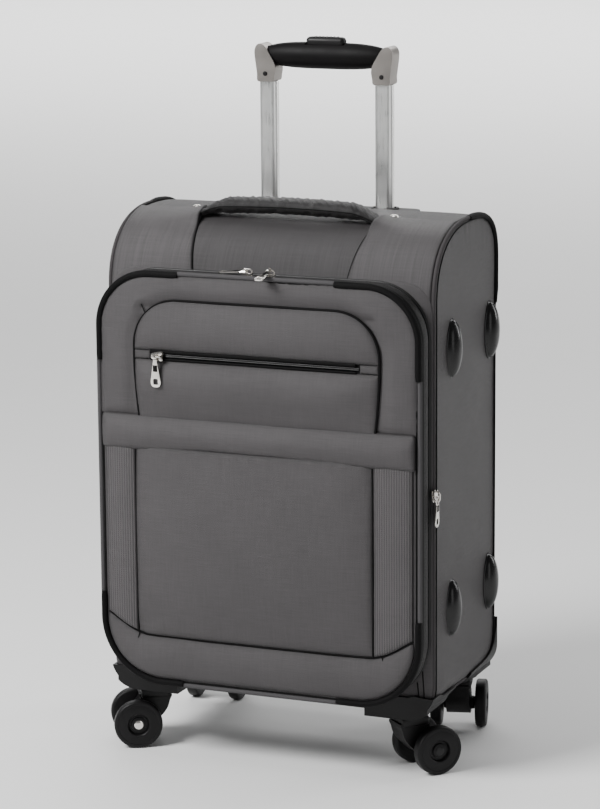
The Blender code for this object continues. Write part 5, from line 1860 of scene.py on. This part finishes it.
def make_rivets():
    dome = [(0.0, 0.0034), (0.0018, 0.0033), (0.0034, 0.0027), (0.0046, 0.0016), (0.0050, 0.0002), (0.0, 0.0)]
    head = turned_mesh(dome, 40)
    washer = turned_mesh(
        [(0.0, 0.0008), (0.0064, 0.0008), (0.0074, 0.0002), (0.0074, -0.0024), (0.0, -0.0024)], 40
    )
    for end in ("left", "right"):
        low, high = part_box("rivet_" + end)
        seat = Matrix.Translation(((low.x + high.x) / 2, (low.y + high.y) / 2, low.z + 0.0028))
        seat = seat @ Matrix.Rotation(math.radians(9), 4, "X")
        hard("rivet_head_" + end, moved(head, seat), "nickel", "suitcase_body", ["rivet_" + end])
        hard("rivet_washer_" + end, moved(washer, seat), "gloss", "suitcase_body")


def make_base():
    low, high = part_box("bottom_panel")
    board = rounded_mesh(box_mesh(low, high, 0.002, 3))
    hard("base_board", board, "board", "suitcase_body", ["bottom_panel"])


# ---------------------------------------------------------------- stage


def add_camera():
    """From the front right and a little above: azimuth, elevation, roll, and a long lens."""
    azimuth, elevation, roll = (math.radians(a) for a in (22.6784, 11.5574, -0.4435))
    distance, target = 3.2376, Vector((-0.0004, 0, 0.3551))
    level = math.cos(elevation)
    back = Vector((math.sin(azimuth) * level, -math.cos(azimuth) * level, math.sin(elevation)))
    right = Vector((math.cos(azimuth), math.sin(azimuth), 0))
    up = back.cross(right)
    x_axis = right * math.cos(roll) + up * math.sin(roll)
    y_axis = up * math.cos(roll) - right * math.sin(roll)
    data = bpy.data.cameras.new("camera")
    data.lens = 140.98
    data.sensor_width = 36.0
    data.clip_end = 50
    camera = bpy.data.objects.new("camera", data)
    bpy.context.scene.collection.objects.link(camera)
    axes = Matrix((x_axis, y_axis, back)).transposed().to_4x4()
    camera.matrix_world = Matrix.Translation(target + back * distance) @ axes
    bpy.context.scene.camera = camera


def add_area_light(name, location, aim, size, power):
    data = bpy.data.lights.new(name, "AREA")
    data.shape = "RECTANGLE"
    data.size, data.size_y = size
    data.energy = power
    light = bpy.data.objects.new(name, data)
    bpy.context.scene.collection.objects.link(light)
    light.location = location
    light.rotation_euler = (Vector(aim) - Vector(location)).to_track_quat("-Z", "Y").to_euler()


def add_lights():
    world = bpy.data.worlds.new("studio")
    bpy.context.scene.world = world
    world.use_nodes = True
    background = world.node_tree.nodes["Background"]
    background.inputs["Color"].default_value = (0.95, 0.96, 0.97, 1)
    background.inputs["Strength"].default_value = 0.22
    aim = (0, 0, 0.32)
    add_area_light("key", (-1.05, -1.45, 1.85), aim, (0.9, 0.9), 88)
    add_area_light("fill", (2.4, -1.4, 0.9), aim, (1.2, 1.8), 9)
    add_area_light("top", (-0.3, 0.1, 2.6), aim, (1.4, 1.4), 14)
    add_area_light("rim", (1.7, 1.6, 1.2), aim, (0.5, 1.6), 16)
    add_area_light("backdrop", (-2.5, 9, 5), (-2.5, 10, 0), (12, 8), 1500)


def add_floor():
    mesh = bpy.data.meshes.new("floor")
    bm = bmesh.new()
    bmesh.ops.create_grid(bm, x_segments=4, y_segments=4, size=14)
    bm.to_mesh(mesh)
    bm.free()
    floor = bpy.data.objects.new("floor", mesh)
    bpy.context.scene.collection.objects.link(floor)
    material, tree, shader = new_material("pale_floor", (0.86, 0.86, 0.85), 0.7)
    mottle = tree.noise(tree.object_point(), 6, 3)
    tree.feed(shader.inputs["Base Color"], tree.tint(mottle, (0.85, 0.85, 0.845), (0.87, 0.87, 0.865)))
    mesh.materials.append(material)


add_camera()
add_lights()
add_floor()

make_lid_shell()
make_lower_pocket()
make_bottom_panel()
make_upper_pocket()
make_band()
make_lid_piping()
make_lid_edge()
make_expansion_frame()
make_zips()
make_pocket_zip()
make_gusset()
make_lid_lining()

make_top()
make_patches()
make_sides()
make_body_piping()
make_back()
make_front_wall()
make_lining()
make_carry_handles()

make_fittings()
make_tubes()
make_grip()
make_brackets()
make_bezel()
make_casters()
make_guards()
make_side_feet()
make_rivets()
make_base()
